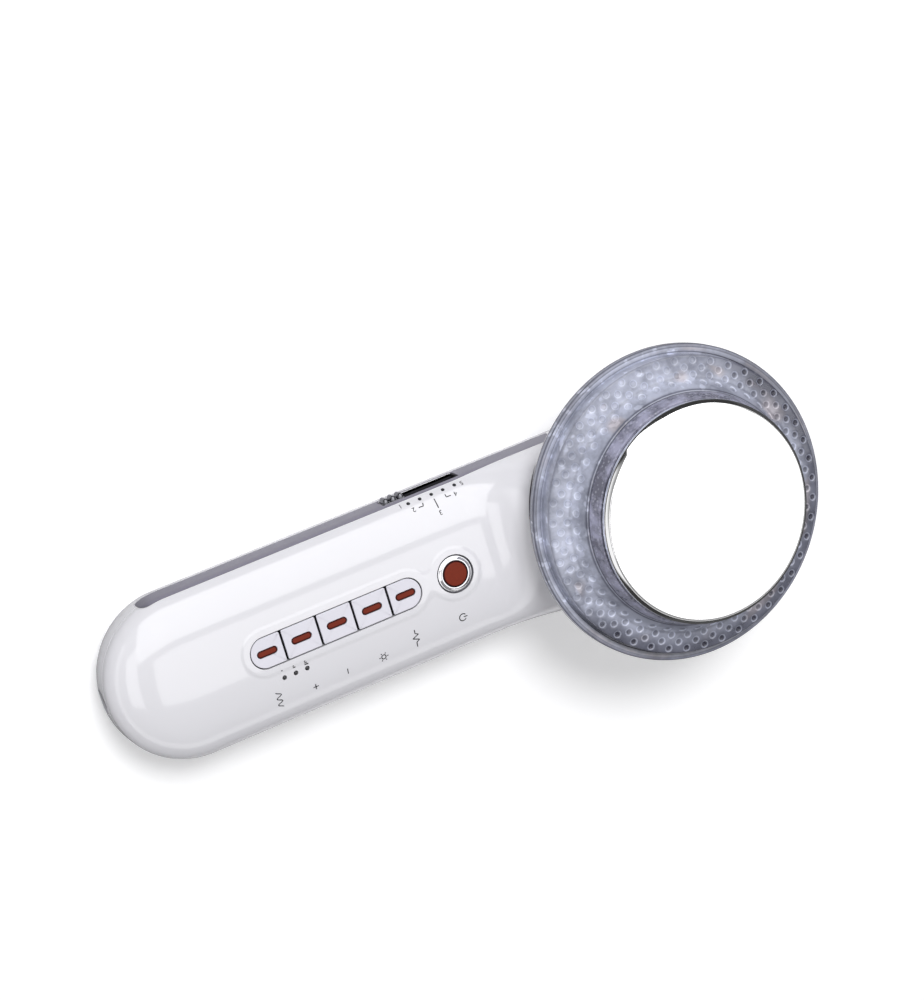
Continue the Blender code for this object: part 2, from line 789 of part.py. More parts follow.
def power_socket():
    """A round DC socket: a block with a deep bore and a pin set back in it."""
    centre = (socket_x() + SOCKET_LENGTH / 2, 0, SOCKET_Z)
    socket = block("power_socket", (SOCKET_LENGTH, SOCKET_SIDE, SOCKET_SIDE), centre, black_plastic())
    mouth = socket_x() - OVERRUN
    cut(socket, sideways_rod("socket_bore", SOCKET_BORE_RADIUS, mouth, SOCKET_BORE_DEPTH + OVERRUN))
    tip = socket_x() + SOCKET_PIN_SET_BACK
    length = SOCKET_BORE_DEPTH - SOCKET_PIN_SET_BACK + OVERLAP
    return join(socket, sideways_rod("socket_pin", SOCKET_PIN_RADIUS, tip, length, steps=ARC_STEPS))


def case_screws():
    """Pan-head screws, put in from the back."""
    for number, (x, y) in enumerate(screw_places(), 1):
        radius = SCREW_RADIUS
        head = SCREW_HEAD_RADIUS
        low = SCREW_SEAT_RISE - GAP - SCREW_HEAD_HEIGHT
        neck = SCREW_SEAT_RISE - GAP
        tip = neck + SCREW_LENGTH
        profile = [(0, tip), (radius * SCREW_TIP_SHARE, tip), (radius, tip - radius), (radius, neck)]
        profile += [(head, neck), (head, low + SCREW_HEAD_HEIGHT / 2)]
        profile += [(head * SCREW_CROWN_SHARE, low), (0, low)]
        turned(f"case_screw_{number}", profile, (x, y, 0), steel(), steps=LEVEL_STEPS)


def side_band(name, side):
    """A grey band let into one side over the joint between the shells."""
    low, high = (BAND_Y, HALF_WIDTH) if side > 0 else (-HALF_WIDTH, -BAND_Y)
    return prism(name, band_outline(-SNUG), low, high, grey_plastic(), along="Y")


def side_bands():
    left = side_band("side_band_left", 1)
    side_band("side_band_right", -1)
    seat = (TRACK_LENGTH + 2 * SNUG, TRACK_WIDTH + 2 * SNUG)
    cut(left, slot_block("track_seat", *seat, KNOB_Y, HALF_WIDTH + OVERRUN))


def slider_track():
    """The chrome frame that the mode slider runs in."""
    high = HALF_WIDTH + TRACK_PROUD
    track = slot_block("slider_track", TRACK_LENGTH, TRACK_WIDTH, BAND_Y, high, chrome())
    bevel(track, TRACK_PROUD, 1)
    return cut(track, slot_block("track_slot", SLOT_LENGTH, SLOT_WIDTH, KNOB_Y, HALF_WIDTH + OVERRUN))


def mode_slider():
    """The sliding knob with its finger ridges and the stem that moves the switch."""
    crest = HALF_WIDTH + KNOB_PROUD
    base = crest - RIDGE_HEIGHT
    low = KNOB_Y
    centre = (SLIDER_X, 0, SPLIT_Z)
    size = (KNOB_LENGTH, base - low, KNOB_WIDTH)
    bm = bmesh.new()
    bmesh.ops.create_cube(bm, size=1)
    bmesh.ops.scale(bm, vec=size, verts=bm.verts)
    bmesh.ops.translate(bm, vec=(0, (base + low) / 2, 0), verts=bm.verts)
    knob = from_bmesh("mode_slider", bm, chrome(), centre)
    pitch = KNOB_LENGTH / KNOB_RIDGES
    for number in range(KNOB_RIDGES):
        x = SLIDER_X + pitch * (number - (KNOB_RIDGES - 1) / 2)
        half = pitch * RIDGE_SHARE / 2
        ridge = [(x - half, base - RIDGE_HEIGHT), (x + half, base - RIDGE_HEIGHT)]
        ridge += arc((x, base), half, 0, 180, ARC_STEPS // 2)
        join(knob, ridge_bar(f"ridge_{number}", ridge))
    stem_low = low - SLIDE_STEM_LENGTH
    stem_size = (SLIDE_STEM_SIDE, SLIDE_STEM_LENGTH + OVERLAP, SLIDE_STEM_SIDE)
    return join(knob, block("slide_stem", stem_size, (SLIDER_X, (stem_low + low + OVERLAP) / 2, SPLIT_Z)))


def ridge_bar(name, outline):
    """A ridge across the knob: an outline in X and Y carried up the knob's height."""
    half = KNOB_WIDTH / 2 - SNUG
    return prism(name, outline, SPLIT_Z - half, SPLIT_Z + half)


def slide_switch():
    """The slide switch behind the slot, with a groove for the slider's stem."""
    high = KNOB_Y - GAP
    low = high - SLIDE_SWITCH_DEPTH
    length = SLIDER_TRAVEL + SLIDE_STEM_SIDE + 2 * WALL
    switch = slot_block("slide_switch", length, SLIDE_SWITCH_HEIGHT, low, high, steel())
    groove = (SLIDER_TRAVEL + SLIDE_STEM_SIDE + 2 * GAP, SLIDE_STEM_SIDE + 2 * GAP)
    return cut(switch, slot_block("stem_groove", *groove, high - SLIDE_STEM_LENGTH, high + OVERRUN))


def key_outline(index, grow=0.0):
    """One key in plan, about the key row's centre: the end keys have a round outer end."""
    half = KEY_ROW_WIDTH / 2 - KEY_EDGE + grow
    reach = KEY_ROW_LENGTH / 2 - KEY_EDGE
    middle = KEY_PITCH * (index - (KEY_COUNT - 1) / 2)
    left = middle - KEY_PITCH / 2 + KEY_SPLIT / 2
    right = middle + KEY_PITCH / 2 - KEY_SPLIT / 2
    round_centre = reach - KEY_ROW_WIDTH / 2 + KEY_EDGE
    if index == 0:
        return arc((-round_centre, 0), half, 90, 270, ARC_STEPS) + [(right, -half), (right, half)]
    if index == KEY_COUNT - 1:
        return arc((round_centre, 0), half, -90, 90, ARC_STEPS) + [(left, half), (left, -half)]
    return [(left, -half), (right, -half), (right, half), (left, half)]


def key_lens_x(index):
    """The middle of a key's cap, where its window is, from the row's centre."""
    xs = [x for x, y in key_outline(index)]
    return (min(xs) + max(xs)) / 2


def key(index):
    """A key: cap through the face, flange that stops it from inside, and stem to its switch."""
    number = index + 1
    top = FACE_Z + KEY_RISE
    neck = face_height(KEY_ROW_WIDTH / 2 + KEY_FLANGE_WIDTH, WALL) - GAP
    foot = neck - KEY_FLANGE_THICKNESS
    low = foot + OVERLAP / 2 - top
    cap = prism(f"key_{number}", key_outline(index), low, 0, key_plastic(), location=(KEY_X, 0, top))
    edge = key_outline(index, KEY_FLANGE_WIDTH)
    flange = prism(f"key_flange_{number}", edge, foot, neck, location=(KEY_X, 0, 0))
    x = KEY_X + key_lens_x(index)
    stem = rod(f"key_stem_{number}", KEY_STEM_RADIUS, (x, 0, STEM_END_Z), foot + OVERLAP, steps=LEVEL_STEPS)
    join(cap, flange, stem)
    pocket = prism(
        f"lens_pocket_{number}",
        slot_outline(LENS_LENGTH + 2 * SNUG, LENS_WIDTH + 2 * SNUG),
        top - LENS_DEPTH - SNUG,
        top + OVERRUN,
        location=(x, 0, 0),
    )
    cut(cap, pocket)
    outline = slot_outline(LENS_LENGTH, LENS_WIDTH)
    prism(f"key_lens_{number}", outline, top - LENS_DEPTH, top, red_plastic(), location=(x, 0, 0))
    tact_switch(f"key_switch_{number}", x)


def tact_switch(name, x):
    """A small push switch on the main board."""
    low = BOARD_TOP_Z + GAP
    centre = (x, 0, low + SWITCH_HEIGHT / 2)
    body = block(name, (SWITCH_SIDE, SWITCH_SIDE, SWITCH_HEIGHT), centre, black_plastic())
    foot = (x, 0, low + SWITCH_HEIGHT - OVERLAP)
    return join(body, rod(name + "_plunger", SWITCH_PLUNGER_RADIUS, foot, SWITCH_TOP_Z, steps=LEVEL_STEPS))


def bezel_neck():
    """The height of the top of the bezel's flange, just under the face."""
    return face_height(BEZEL_RADIUS + BEZEL_FLANGE, WALL) - GAP


def power_bezel():
    """The chrome dish round the power button, held by a flange under the face."""
    top = BORDER_Z
    neck = bezel_neck()
    low = neck - BEZEL_FLANGE_THICKNESS
    bore = BEZEL_BORE_RADIUS
    outer = BEZEL_RADIUS
    profile = [(outer - BEZEL_LIP, top), (outer, top - BEZEL_LIP / 2), (outer, neck)]
    profile += [(outer + BEZEL_FLANGE, neck), (outer + BEZEL_FLANGE, low), (bore, low)]
    dish = superellipse(EDGE_STEPS, outer - BEZEL_LIP - bore, BEZEL_DISH_DEPTH, 2)
    profile += [(bore + across, top - drop) for across, drop in dish[:-1]]
    return turned("power_bezel", profile, (POWER_X, 0, 0), chrome(), steps=POWER_STEPS, closed=True)


def power_button():
    """The red button: a domed cap, a flange behind the bezel and a stem to its switch."""
    top = FACE_Z + POWER_PROUD
    seat = bezel_neck() - BEZEL_FLANGE_THICKNESS - GAP
    low = seat - POWER_FLANGE_THICKNESS
    radius = POWER_RADIUS
    flange = BEZEL_BORE_RADIUS + POWER_FLANGE
    crown = (radius * POWER_CROWN_WIDTH_SHARE, top - POWER_DOME * POWER_CROWN_DROP_SHARE)
    profile = [(0, top), crown, (radius - POWER_DOME, top - POWER_DOME)]
    profile += [(radius, top - 2 * POWER_DOME), (radius, seat), (flange, seat), (flange, low)]
    profile += [(POWER_STEM_RADIUS, low), (POWER_STEM_RADIUS, STEM_END_Z), (0, STEM_END_Z)]
    drop = [(across, height - top) for across, height in profile]
    turned("power_button", drop, (POWER_X, 0, top), red_plastic(), steps=POWER_STEPS)
    tact_switch("power_switch", POWER_X)


def level_lights():
    """Three small windows beside the first key, each on its own light on the board."""
    for number, x in enumerate(level_places(), 1):
        top = face_height(abs(LEVEL_Y))
        low = BOARD_TOP_Z + GAP
        shoulder = low + SWITCH_HEIGHT
        foot = LEVEL_FOOT_RADIUS
        profile = [(0, top), (LEVEL_RADIUS, top), (LEVEL_RADIUS, shoulder)]
        profile += [(foot, shoulder), (foot, low), (0, low)]
        turned(f"level_light_{number}", profile, (x, LEVEL_Y, 0), black_plastic(), steps=LEVEL_STEPS)


def main_board():
    """The circuit board under the keys, on posts of the back shell."""
    length = BOARD_HEAD_X - BOARD_BUTT_X
    x = (BOARD_HEAD_X + BOARD_BUTT_X) / 2
    centre = (x, 0, BOARD_TOP_Z - BOARD_THICKNESS / 2)
    return block("main_board", (length, BOARD_WIDTH, BOARD_THICKNESS), centre, circuit_board())


def drive_coil():
    """The step-up transformer that hangs under the board."""
    top = BOARD_TOP_Z - BOARD_THICKNESS - GAP
    x = BOARD_HEAD_X - BOARD_POST_INSET - DRIVE_COIL_LENGTH
    centre = (x, 0, top - DRIVE_COIL_HEIGHT / 2)
    coil = block("drive_coil", (DRIVE_COIL_LENGTH, DRIVE_COIL_WIDTH, DRIVE_COIL_HEIGHT), centre, ceramic())
    return bevel(coil, DRIVE_COIL_WALL, 1)


def cover_face():
    """The cover's upper face past the groove: the shelf's two ends and the foot, (radius, height)."""
    outer = HEAD_RADIUS - COVER_LIP_WIDTH - COVER_GROOVE
    shelf_end = (COVER_FOOT_RADIUS + COVER_CONE_WIDTH, FOOT_Z - COVER_CONE_RISE)
    return (outer, RIM_Z + COVER_SHELF_RISE), shelf_end, (COVER_FOOT_RADIUS, FOOT_Z)


def head_cover():
    """The clear flared ring, with staggered rings of dimples in its shelf and its cone."""
    shelf, corner, foot = cover_face()
    radius = HEAD_RADIUS
    soft = COVER_LIP_RADIUS
    low = RIM_Z - BOWL_RIM_DROP + GAP
    lip = radius - COVER_LIP_WIDTH
    turn = COVER_SHELF_RADIUS
    wall = COVER_WALL
    profile = [(radius - soft, RIM_Z), (radius, RIM_Z - soft), (radius, low)]
    profile += [(shelf[0] - wall, low), (shelf[0] - wall, shelf[1] - wall)]
    profile += [(corner[0] - wall / 2, corner[1] - wall), (foot[0] - wall / 2, foot[1] - wall)]
    profile += [(COVER_BORE_RADIUS, foot[1] - wall), (COVER_BORE_RADIUS, foot[1]), foot, corner]
    profile += [(shelf[0] - turn, shelf[1]), (shelf[0], shelf[1] - turn)]
    profile += [(shelf[0], RIM_Z - COVER_GROOVE), (lip, RIM_Z - COVER_GROOVE), (lip, RIM_Z)]
    cover = turned("head_cover", profile, (HEAD_X, 0, 0), clear_lavender(), closed=True)
    return cut(cover, dimple_cutter())


def dimple_rings():
    """Where each ring of dimples lies on the cover: (a point of the ring, the way up its slope)."""
    shelf, corner, foot = (Vector((radius, 0, height)) for radius, height in cover_face())
    along = (corner - shelf).normalized()
    first = shelf + along * (DIMPLE_RADIUS + DIMPLE_MARGIN / 2)
    run = (corner - first).length - DIMPLE_MARGIN
    last = SHELF_DIMPLE_RINGS - 1
    rings = [(first + along * run * ring / last, along) for ring in range(SHELF_DIMPLE_RINGS)]
    return rings + [(corner.lerp(foot, CONE_DIMPLE_SHARE), (foot - corner).normalized())]


def dimple_cutter():
    """All the dimples as one hidden cutter: small cones set square to the face, in rings."""
    bm = bmesh.new()
    sink = Matrix.Translation((0, 0, (OVERLAP - DIMPLE_DEPTH) / 2))
    depth = DIMPLE_DEPTH + OVERLAP
    wide = DIMPLE_RADIUS * depth / DIMPLE_DEPTH
    for ring, (point, along) in enumerate(dimple_rings()):
        lean = Matrix.Rotation(math.pi / 2 + math.atan2(along.x, along.z), 4, "Y")
        for index in range(DIMPLES_PER_RING):
            turn = Matrix.Rotation(math.tau * (index + 0.5 * (ring % 2)) / DIMPLES_PER_RING, 4, "Z")
            bmesh.ops.create_cone(
                bm,
                cap_ends=True,
                segments=DIMPLE_SIDES,
                radius1=0,
                radius2=wide,
                depth=depth,
                matrix=turn @ Matrix.Translation(point) @ lean @ sink,
            )
    return from_bmesh("dimples", bm, None, (HEAD_X, 0, 0))


def probe_collar():
    """The frosted ring between the cover and the probe."""
    low = COLLAR_Z
    top = low + COLLAR_HEIGHT
    inner = COLLAR_BORE_RADIUS
    profile = [(COLLAR_TOP_RADIUS, top), (COLLAR_FOOT_RADIUS, low), (inner, low), (inner, top)]
    return turned("probe_collar", profile, (HEAD_X, 0, 0), frosted_lavender(), closed=True)


def probe_gasket():
    low = GASKET_Z
    top = low + GASKET_THICKNESS
    outer = PROBE_RADIUS - GASKET_INSET
    inner = COLLAR_BORE_RADIUS
    profile = [(outer, top), (outer, low), (inner, low), (inner, top)]
    return turned("probe_gasket", profile, (HEAD_X, 0, 0), rubber(), closed=True)


def probe_plate():
    """The polished steel cup: flat face, rounded edge, skirt, and a spigot down inside the collar."""
    top = PROBE_TOP_Z
    soft = PROBE_EDGE_RADIUS
    spigot = COLLAR_BORE_RADIUS - GAP
    low = PROBE_Z - PROBE_SPIGOT_HEIGHT
    edge = arc((PROBE_RADIUS - soft, top - soft), soft, 90, 0, EDGE_STEPS)
    profile = [(0, top)] + edge + [(PROBE_RADIUS, PROBE_Z), (spigot, PROBE_Z), (spigot, low)]
    bore = spigot - PROBE_WALL
    profile += [(bore, low), (bore, top - PROBE_WALL), (0, top - PROBE_WALL)]
    return turned("probe_plate", profile, (HEAD_X, 0, 0), steel(), steps=PROBE_STEPS)


def transducer():
    """The piezo disc behind the probe's face."""
    top = PROBE_TOP_Z - PROBE_WALL - GAP
    foot = (HEAD_X, 0, top - TRANSDUCER_THICKNESS)
    return rod("transducer", TRANSDUCER_RADIUS, foot, top, ceramic(), steps=SOCKET_STEPS)


def led_board():
    low = LED_BOARD_Z - BOARD_THICKNESS
    profile = [(LED_BOARD_OUTER_RADIUS, LED_BOARD_Z), (LED_BOARD_OUTER_RADIUS, low)]
    profile += [(LED_BOARD_INNER_RADIUS, low), (LED_BOARD_INNER_RADIUS, LED_BOARD_Z)]
    return turned("led_board", profile, (HEAD_X, 0, 0), white_plastic(), closed=True)


def leds():
    """Pairs of lamps round the light ring."""
    number = 0
    for group in range(LED_GROUPS):
        for side in (-1, 1):
            number += 1
            angle = LED_FIRST_ANGLE + math.tau * group / LED_GROUPS + side * LED_HALF_ANGLE
            x = HEAD_X + LED_CIRCLE_RADIUS * math.cos(angle)
            y = LED_CIRCLE_RADIUS * math.sin(angle)
            low = LED_BOARD_Z + GAP
            top = low + LED_HEIGHT
            shoulder = top - LED_RADIUS
            dome = arc((0, shoulder), LED_RADIUS, 90, 0, EDGE_STEPS)
            dome[0] = (0.0, top)
            profile = dome + [(LED_RADIUS, low), (0, low)]
            turned(f"led_{number:02d}", profile, (x, y, 0), led_resin(), steps=ARC_STEPS)


def lead(name, points, finish):
    """A wire through the points that are given, as a smooth run of short straight pieces."""
    curve = bpy.data.curves.new(name, "CURVE")
    curve.dimensions = "3D"
    curve.bevel_depth = LEAD_RADIUS
    curve.bevel_resolution = 1
    curve.use_fill_caps = True
    spline = curve.splines.new("POLY")
    spline.points.add(len(points) - 1)
    for point, place_at in zip(spline.points, points):
        point.co = (*place_at, 1)
    obj = bpy.data.objects.new(name, curve)
    curve.materials.append(finish)
    bpy.data.collections[DEVICE].objects.link(obj)
    return obj


def bend(start, handle, other, end, count=LEAD_POINTS):
    """Points along a Bezier curve between two ends and their two handles."""
    points = []
    for step in range(count + 1):
        t = step / count
        a, b = start.lerp(handle, t), handle.lerp(other, t)
        c = other.lerp(end, t)
        points.append(a.lerp(b, t).lerp(b.lerp(c, t), t))
    return points


def leads():
    """The wires from the main board to the transducer and to the light ring."""
    start_x = BOARD_HEAD_X - LEAD_SPREAD
    start_z = BOARD_TOP_Z + GAP + LEAD_RADIUS
    bottom = PROBE_TOP_Z - PROBE_WALL - TRANSDUCER_THICKNESS - 2 * GAP
    start = Vector((start_x, LEAD_SPREAD, start_z))
    end = Vector((HEAD_X, LEAD_SPREAD, bottom))
    reach = Vector((HEAD_X - BOARD_HEAD_X, 0, 0))
    lift = Vector((0, 0, bottom - start_z))
    lead("transducer_lead", bend(start, start + reach, end - lift, end), red_plastic())
    start = Vector((start_x, -LEAD_SPREAD, start_z))
    end_x = HEAD_X - (LED_BOARD_INNER_RADIUS + LED_POST_RADIUS)
    end_z = LED_BOARD_Z - BOARD_THICKNESS - GAP
    end = Vector((end_x, -LEAD_SPREAD, end_z))
    lift = Vector((0, 0, end_z - start_z))
    lead("light_lead", bend(start, start + reach / 2, end - lift, end), black_plastic())


def build():
    clear_scene()
    front_shell()
    back_shell()
    side_bands()
    slider_track()
    mode_slider()
    slide_switch()
    for index in range(KEY_COUNT):
        key(index)
    power_bezel()
    power_button()
    level_lights()
    main_board()
    drive_coil()
    power_socket()
    case_screws()
    head_cover()
    led_board()
    leds()
    probe_collar()
    probe_gasket()
    probe_plate()
    transducer()
    leads()


build()
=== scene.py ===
"""Ultrasonic facial device, dressed for the studio: a white handheld wand with five keys, a mode
slider on its side and a steel probe in a clear, dimpled head.

Metres, +Z up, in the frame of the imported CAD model: the handle runs along X with its butt at -X,
the keys and the probe face +Z, and the mode slider is on the +Y side.
"""

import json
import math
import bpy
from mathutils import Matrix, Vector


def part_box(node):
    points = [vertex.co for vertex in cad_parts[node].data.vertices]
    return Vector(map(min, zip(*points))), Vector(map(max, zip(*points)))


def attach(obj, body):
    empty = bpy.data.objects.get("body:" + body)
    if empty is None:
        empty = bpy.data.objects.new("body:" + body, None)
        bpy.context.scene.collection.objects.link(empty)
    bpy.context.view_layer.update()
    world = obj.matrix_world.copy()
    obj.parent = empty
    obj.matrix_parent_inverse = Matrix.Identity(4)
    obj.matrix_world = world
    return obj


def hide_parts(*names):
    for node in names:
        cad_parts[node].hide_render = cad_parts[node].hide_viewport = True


bl_info = {
    "name": "Ultrasonic Facial Device",
    "version": (1, 0, 0),
    "blender": (4, 5, 0),
    "location": "3D View > Sidebar > Facial Device",
    "description": "Builds the visual pieces of a handheld ultrasonic facial device and its studio",
    "category": "Object",
}

import bmesh
import bpy
import numpy as np
from bpy.props import FloatProperty, FloatVectorProperty, IntProperty, PointerProperty
from mathutils import Matrix, Vector

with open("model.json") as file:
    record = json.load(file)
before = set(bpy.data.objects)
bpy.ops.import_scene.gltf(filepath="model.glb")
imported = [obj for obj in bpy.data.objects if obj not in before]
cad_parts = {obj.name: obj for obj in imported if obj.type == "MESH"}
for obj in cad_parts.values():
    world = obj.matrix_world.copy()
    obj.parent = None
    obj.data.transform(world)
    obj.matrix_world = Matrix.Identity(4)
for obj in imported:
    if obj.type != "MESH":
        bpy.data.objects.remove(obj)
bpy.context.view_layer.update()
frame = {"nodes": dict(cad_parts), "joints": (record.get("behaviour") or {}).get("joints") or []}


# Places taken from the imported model


def low(node):
    return np.array(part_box(node)[0])


def high(node):
    return np.array(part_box(node)[1])


def middle(node):
    return (low(node) + high(node)) / 2


HEAD_X = middle("head_cover")[0]
HEAD_RADIUS = (high("head_cover") - low("head_cover"))[1] / 2
COVER_TOP = high("head_cover")[2]
BUTT_X = low("front_shell")[0]
SLOT_X, SPLIT_Z = middle("slider_track")[[0, 2]]
POWER_X = middle("power_bezel")[0]
BORDER_TOP = high("power_bezel")[2]
ROW_X = (low("key_1")[0] + high("key_5")[0]) / 2
KEY_COUNT = 5
LIGHTS = [middle(f"level_light_{place}") for place in (1, 2, 3)]

MM = 0.001
SHARP_ANGLE = math.radians(38)
KEY_SHARP_ANGLE = math.radians(8)
WELD = 2e-6
REACH = 0.004  # how far a cutting block goes past what it cuts
LOOSE = 0.0003  # room between a turned piece and what it sits in


# Properties


def number(name, description, default, **limits):
    return FloatProperty(name=name, description=description, default=default, **limits)


def length(name, description, default):
    return number(name, description, default, min=0, unit="LENGTH", precision=5)


def ratio(name, description, default, highest=1.0):
    return number(name, description, default, min=0, max=highest, subtype="FACTOR")


def count(name, description, default):
    return IntProperty(name=name, description=description, default=default, min=2)


def colour(name, description, default):
    return FloatVectorProperty(
        name=name, description=description, default=default, min=0, max=1, subtype="COLOR"
    )


class HandleForm(bpy.types.PropertyGroup):
    half_width: length("Half width", "From the middle to the side", high("front_shell")[1])
    wall: length("Wall", "Thickness of the mouldings", 0.002)
    gap: length("Gap", "Clearance between neighbouring pieces", 0.0003)
    side_top: length("Side top", "Height at which the crowned face begins", 0.0165)
    side_low: length("Side low", "Height at which the back begins to round", 0.0143)
    crown: length("Crown", "Rise of the face over its side", 0.0095)
    crown_power: number("Crown power", "Squareness of the crown", 2.3)
    back_flat: length("Back flat", "Half width of the flat of the back", 0.009)
    back_power: number("Back power", "Squareness of the back's corners", 2.5)
    ramp_start: length("Ramp start", "From the head's axis back to the ramp", 0.052)
    ramp_length: length("Ramp length", "Length of the rise to the head", 0.018)
    ramp_rise: length("Ramp rise", "Height of the rise to the head", 0.0135)
    spine_end: length("Spine end", "From the head's axis back to the spine's end", 0.006)
    border_width: length("Border width", "Width of the raised border", 0.0026)
    border_height: length("Border height", "Rise of the border over the face", 0.0003)
    border_soft: length("Border softness", "Width of the border's rounded edge", 0.0011)
    border_neck: length("Border neck", "Reach of the join of the border's two parts", 0.0042)
    band_thickness: length("Band thickness", "Thickness of the grey side bands", 0.001)
    band_reach: length("Band reach", "How far the bands go past the solids' bands", 0.0028)
    slot_low: length("Slot low", "From the band's middle down to the opening's edge", 0.00245)
    slot_high: length("Slot high", "From the band's middle up to the opening's edge", 0.0026)
    slot_spare: length("Slot spare", "Opening past the slider's travel", 0.0018)
    slot_depth: length("Slot depth", "Depth of the opening behind the track", 0.0022)
    rail_width: length("Rail width", "Width of the opening's chrome ledge", 0.00075)


class KeyForm(bpy.types.PropertyGroup):
    row_length: length("Row length", "Length of the keys' opening", 0.0501)
    row_width: length("Row width", "Width of the keys' opening", 0.0088)
    pitch: length("Pitch", "From one key to the next", 0.0103)
    split: length("Split", "Dark line between two keys", 0.0006)
    edge: length("Edge gap", "Dark line round the row of keys", 0.0003)
    bevel: length("Bevel", "Rounding of a key's edge", 0.00022)
    corner: length("Corner", "Rounding of a key's corners in plan", 0.0004)
    depth: length("Cap depth", "Height of a key's cap", 0.0026)
    lens_length: length("Window length", "Length of a key's red window", 0.0057)
    lens_width: length("Window width", "Width of a key's red window", 0.0019)
    lens_depth: length("Window depth", "Depth of the window's pocket", 0.0012)
    bezel_radius: length("Ring radius", "Outer radius of the power ring's seat", 0.0051)
    bezel_seat: length("Ring seat", "Width of the grey line round the ring", 0.00022)
    bezel_bore: length("Ring bore", "Inner radius of the chrome ring", 0.0036)
    bezel_fall: length("Ring fall", "Fall of the ring to its outer edge", 0.00036)
    power_radius: length("Button radius", "Radius of the red power button", 0.0034)
    dot_radius: length("Dot radius", "Radius of the dots and level lights", 0.0005)


class HeadForm(bpy.types.PropertyGroup):
    bowl_inset: length("Bowl inset", "From the cover's edge in to the bowl's", 0.0009)
    bowl_flat: length("Bowl flat", "Radius of the flat of the bowl's back", 0.009)
    bowl_power: number("Bowl power", "Squareness of the bowl", 1.3)
    bowl_lift: length("Bowl lift", "Height of the bowl's back over the handle's", 0.0004)
    cover_wall: length("Cover wall", "Thickness of the clear cover", 0.0016)
    lip_width: length("Lip width", "Width of the cover's flat lip", 0.0022)
    lip_rise: length("Rim height", "Height of the lip over the bowl's edge", 0.0022)
    groove: length("Groove", "Width and depth of the groove in the lip", 0.0004)
    shelf_rise: length("Shelf rise", "Height of the dimpled shelf over the lip", 0.0034)
    cone_rise: length("Cone rise", "Height of the cover's cone", 0.0045)
    cone_width: length("Cone width", "Width of the cover's cone", 0.0028)
    dimple_radius: length("Dimple radius", "Radius of one dimple", 0.0011)
    dimple_depth: length("Dimple depth", "Depth of one dimple", 0.0005)
    dimples: count("Dimples", "Dimples in each ring", 45)
    shelf_rings: count("Shelf rings", "Rings of dimples on the shelf", 3)
    dimple_margin: length("Dimple margin", "From the dimples to the shelf's ends", 0.0008)
    cone_share: ratio("Cone ring", "Where the cone's dimples lie along it", 0.32)


class DeviceColours(bpy.types.PropertyGroup):
    white: colour("White plastic", "Glossy shells", (0.845, 0.84, 0.885))
    key: colour("Key plastic", "Satin key caps", (0.78, 0.77, 0.85))
    band: colour("Band", "Grey side bands", (0.235, 0.225, 0.285))
    red: colour("Red", "Key windows and power button", (0.20, 0.030, 0.015))
    red_edge: colour("Red edge", "Rim of the windows and the button", (0.040, 0.005, 0.006))
    ink: colour("Ink", "Printed marks and level lights", (0.012, 0.012, 0.016))
    cover: colour("Cover", "Clear lavender cover", (0.40, 0.405, 0.50))
    # Painted shade and painted light on the cover: the dark colour for its deep side and its dark lines, the
    # pale colour for its lit side.
    cover_dark: colour("Cover shade", "Where the cover looks deep", (0.045, 0.045, 0.075))
    cover_pale: colour("Cover glow", "Where light gathers in it", (0.78, 0.82, 1.0))
    # Painted shade: the colour of a dark ring that stands for the shaded inside of the bowl.
    well: colour("Light well", "Ring from the light board to the bowl", (0.10, 0.10, 0.135))
    light_board: colour("Light board", "Pale board of the light ring", (0.84, 0.84, 0.94))
    collar: colour("Collar", "Frosted ring under the probe", (0.20, 0.20, 0.27))
    lamp: colour("Lamps", "Resin of the light ring's lamps", (0.98, 0.80, 0.72))
    board: colour("Circuit board", "Solder mask of the main board", (0.03, 0.19, 0.07))


class StudioSetup(bpy.types.PropertyGroup):
    floor_size: length("Floor", "Side of the floor", 12.0)
    floor_lift: ratio("Floor lift", "Light that the floor gives to seen rays", 0.31)
    floor_fade: length("Floor fade", "Where the floor turns dark to gloss", 0.13)
    ambient: ratio("Ambient", "Strength of the even studio light", 0.40)
    sun: number("Main light", "Watts for each square metre", 1.95)
    sun_width: number("Main light width", "Softness of its shadow", math.radians(20), subtype="ANGLE")
    gloss: ratio("Gloss light", "The room in gloss, beside the softboxes", 0.26)
    near_box: ratio("Near softboxes", "Overhead and side, in gloss", 1.25, 5.0)
    far_box: ratio("Back softbox", "Brightness in gloss", 1.7, 5.0)


def device_settings(context):
    """The sizes of the handle, the keys and the head, and the colours."""
    scene = context.scene
    return scene.handle_form, scene.key_form, scene.head_form, scene.device_colours


# Meshes


def placed(name, data):
    """A new object in the scene."""
    made = bpy.data.objects.new(name, data)
    bpy.context.scene.collection.objects.link(made)
    return made


def evaluated(item):
    """A mesh of an object with its modifiers applied."""
    ready = item.evaluated_get(bpy.context.evaluated_depsgraph_get())
    return bpy.data.meshes.new_from_object(ready)


def finished(name, mesh, body, slot, *replaced, sharp=SHARP_ANGLE):
    """A finished piece that rides on a body and stands for the CAD nodes it replaces."""
    mesh.shade_smooth()
    mesh.set_sharp_from_angle(angle=sharp)
    piece = placed(name, mesh)
    if body:
        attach(piece, body)
        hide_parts(*replaced)
    return piece


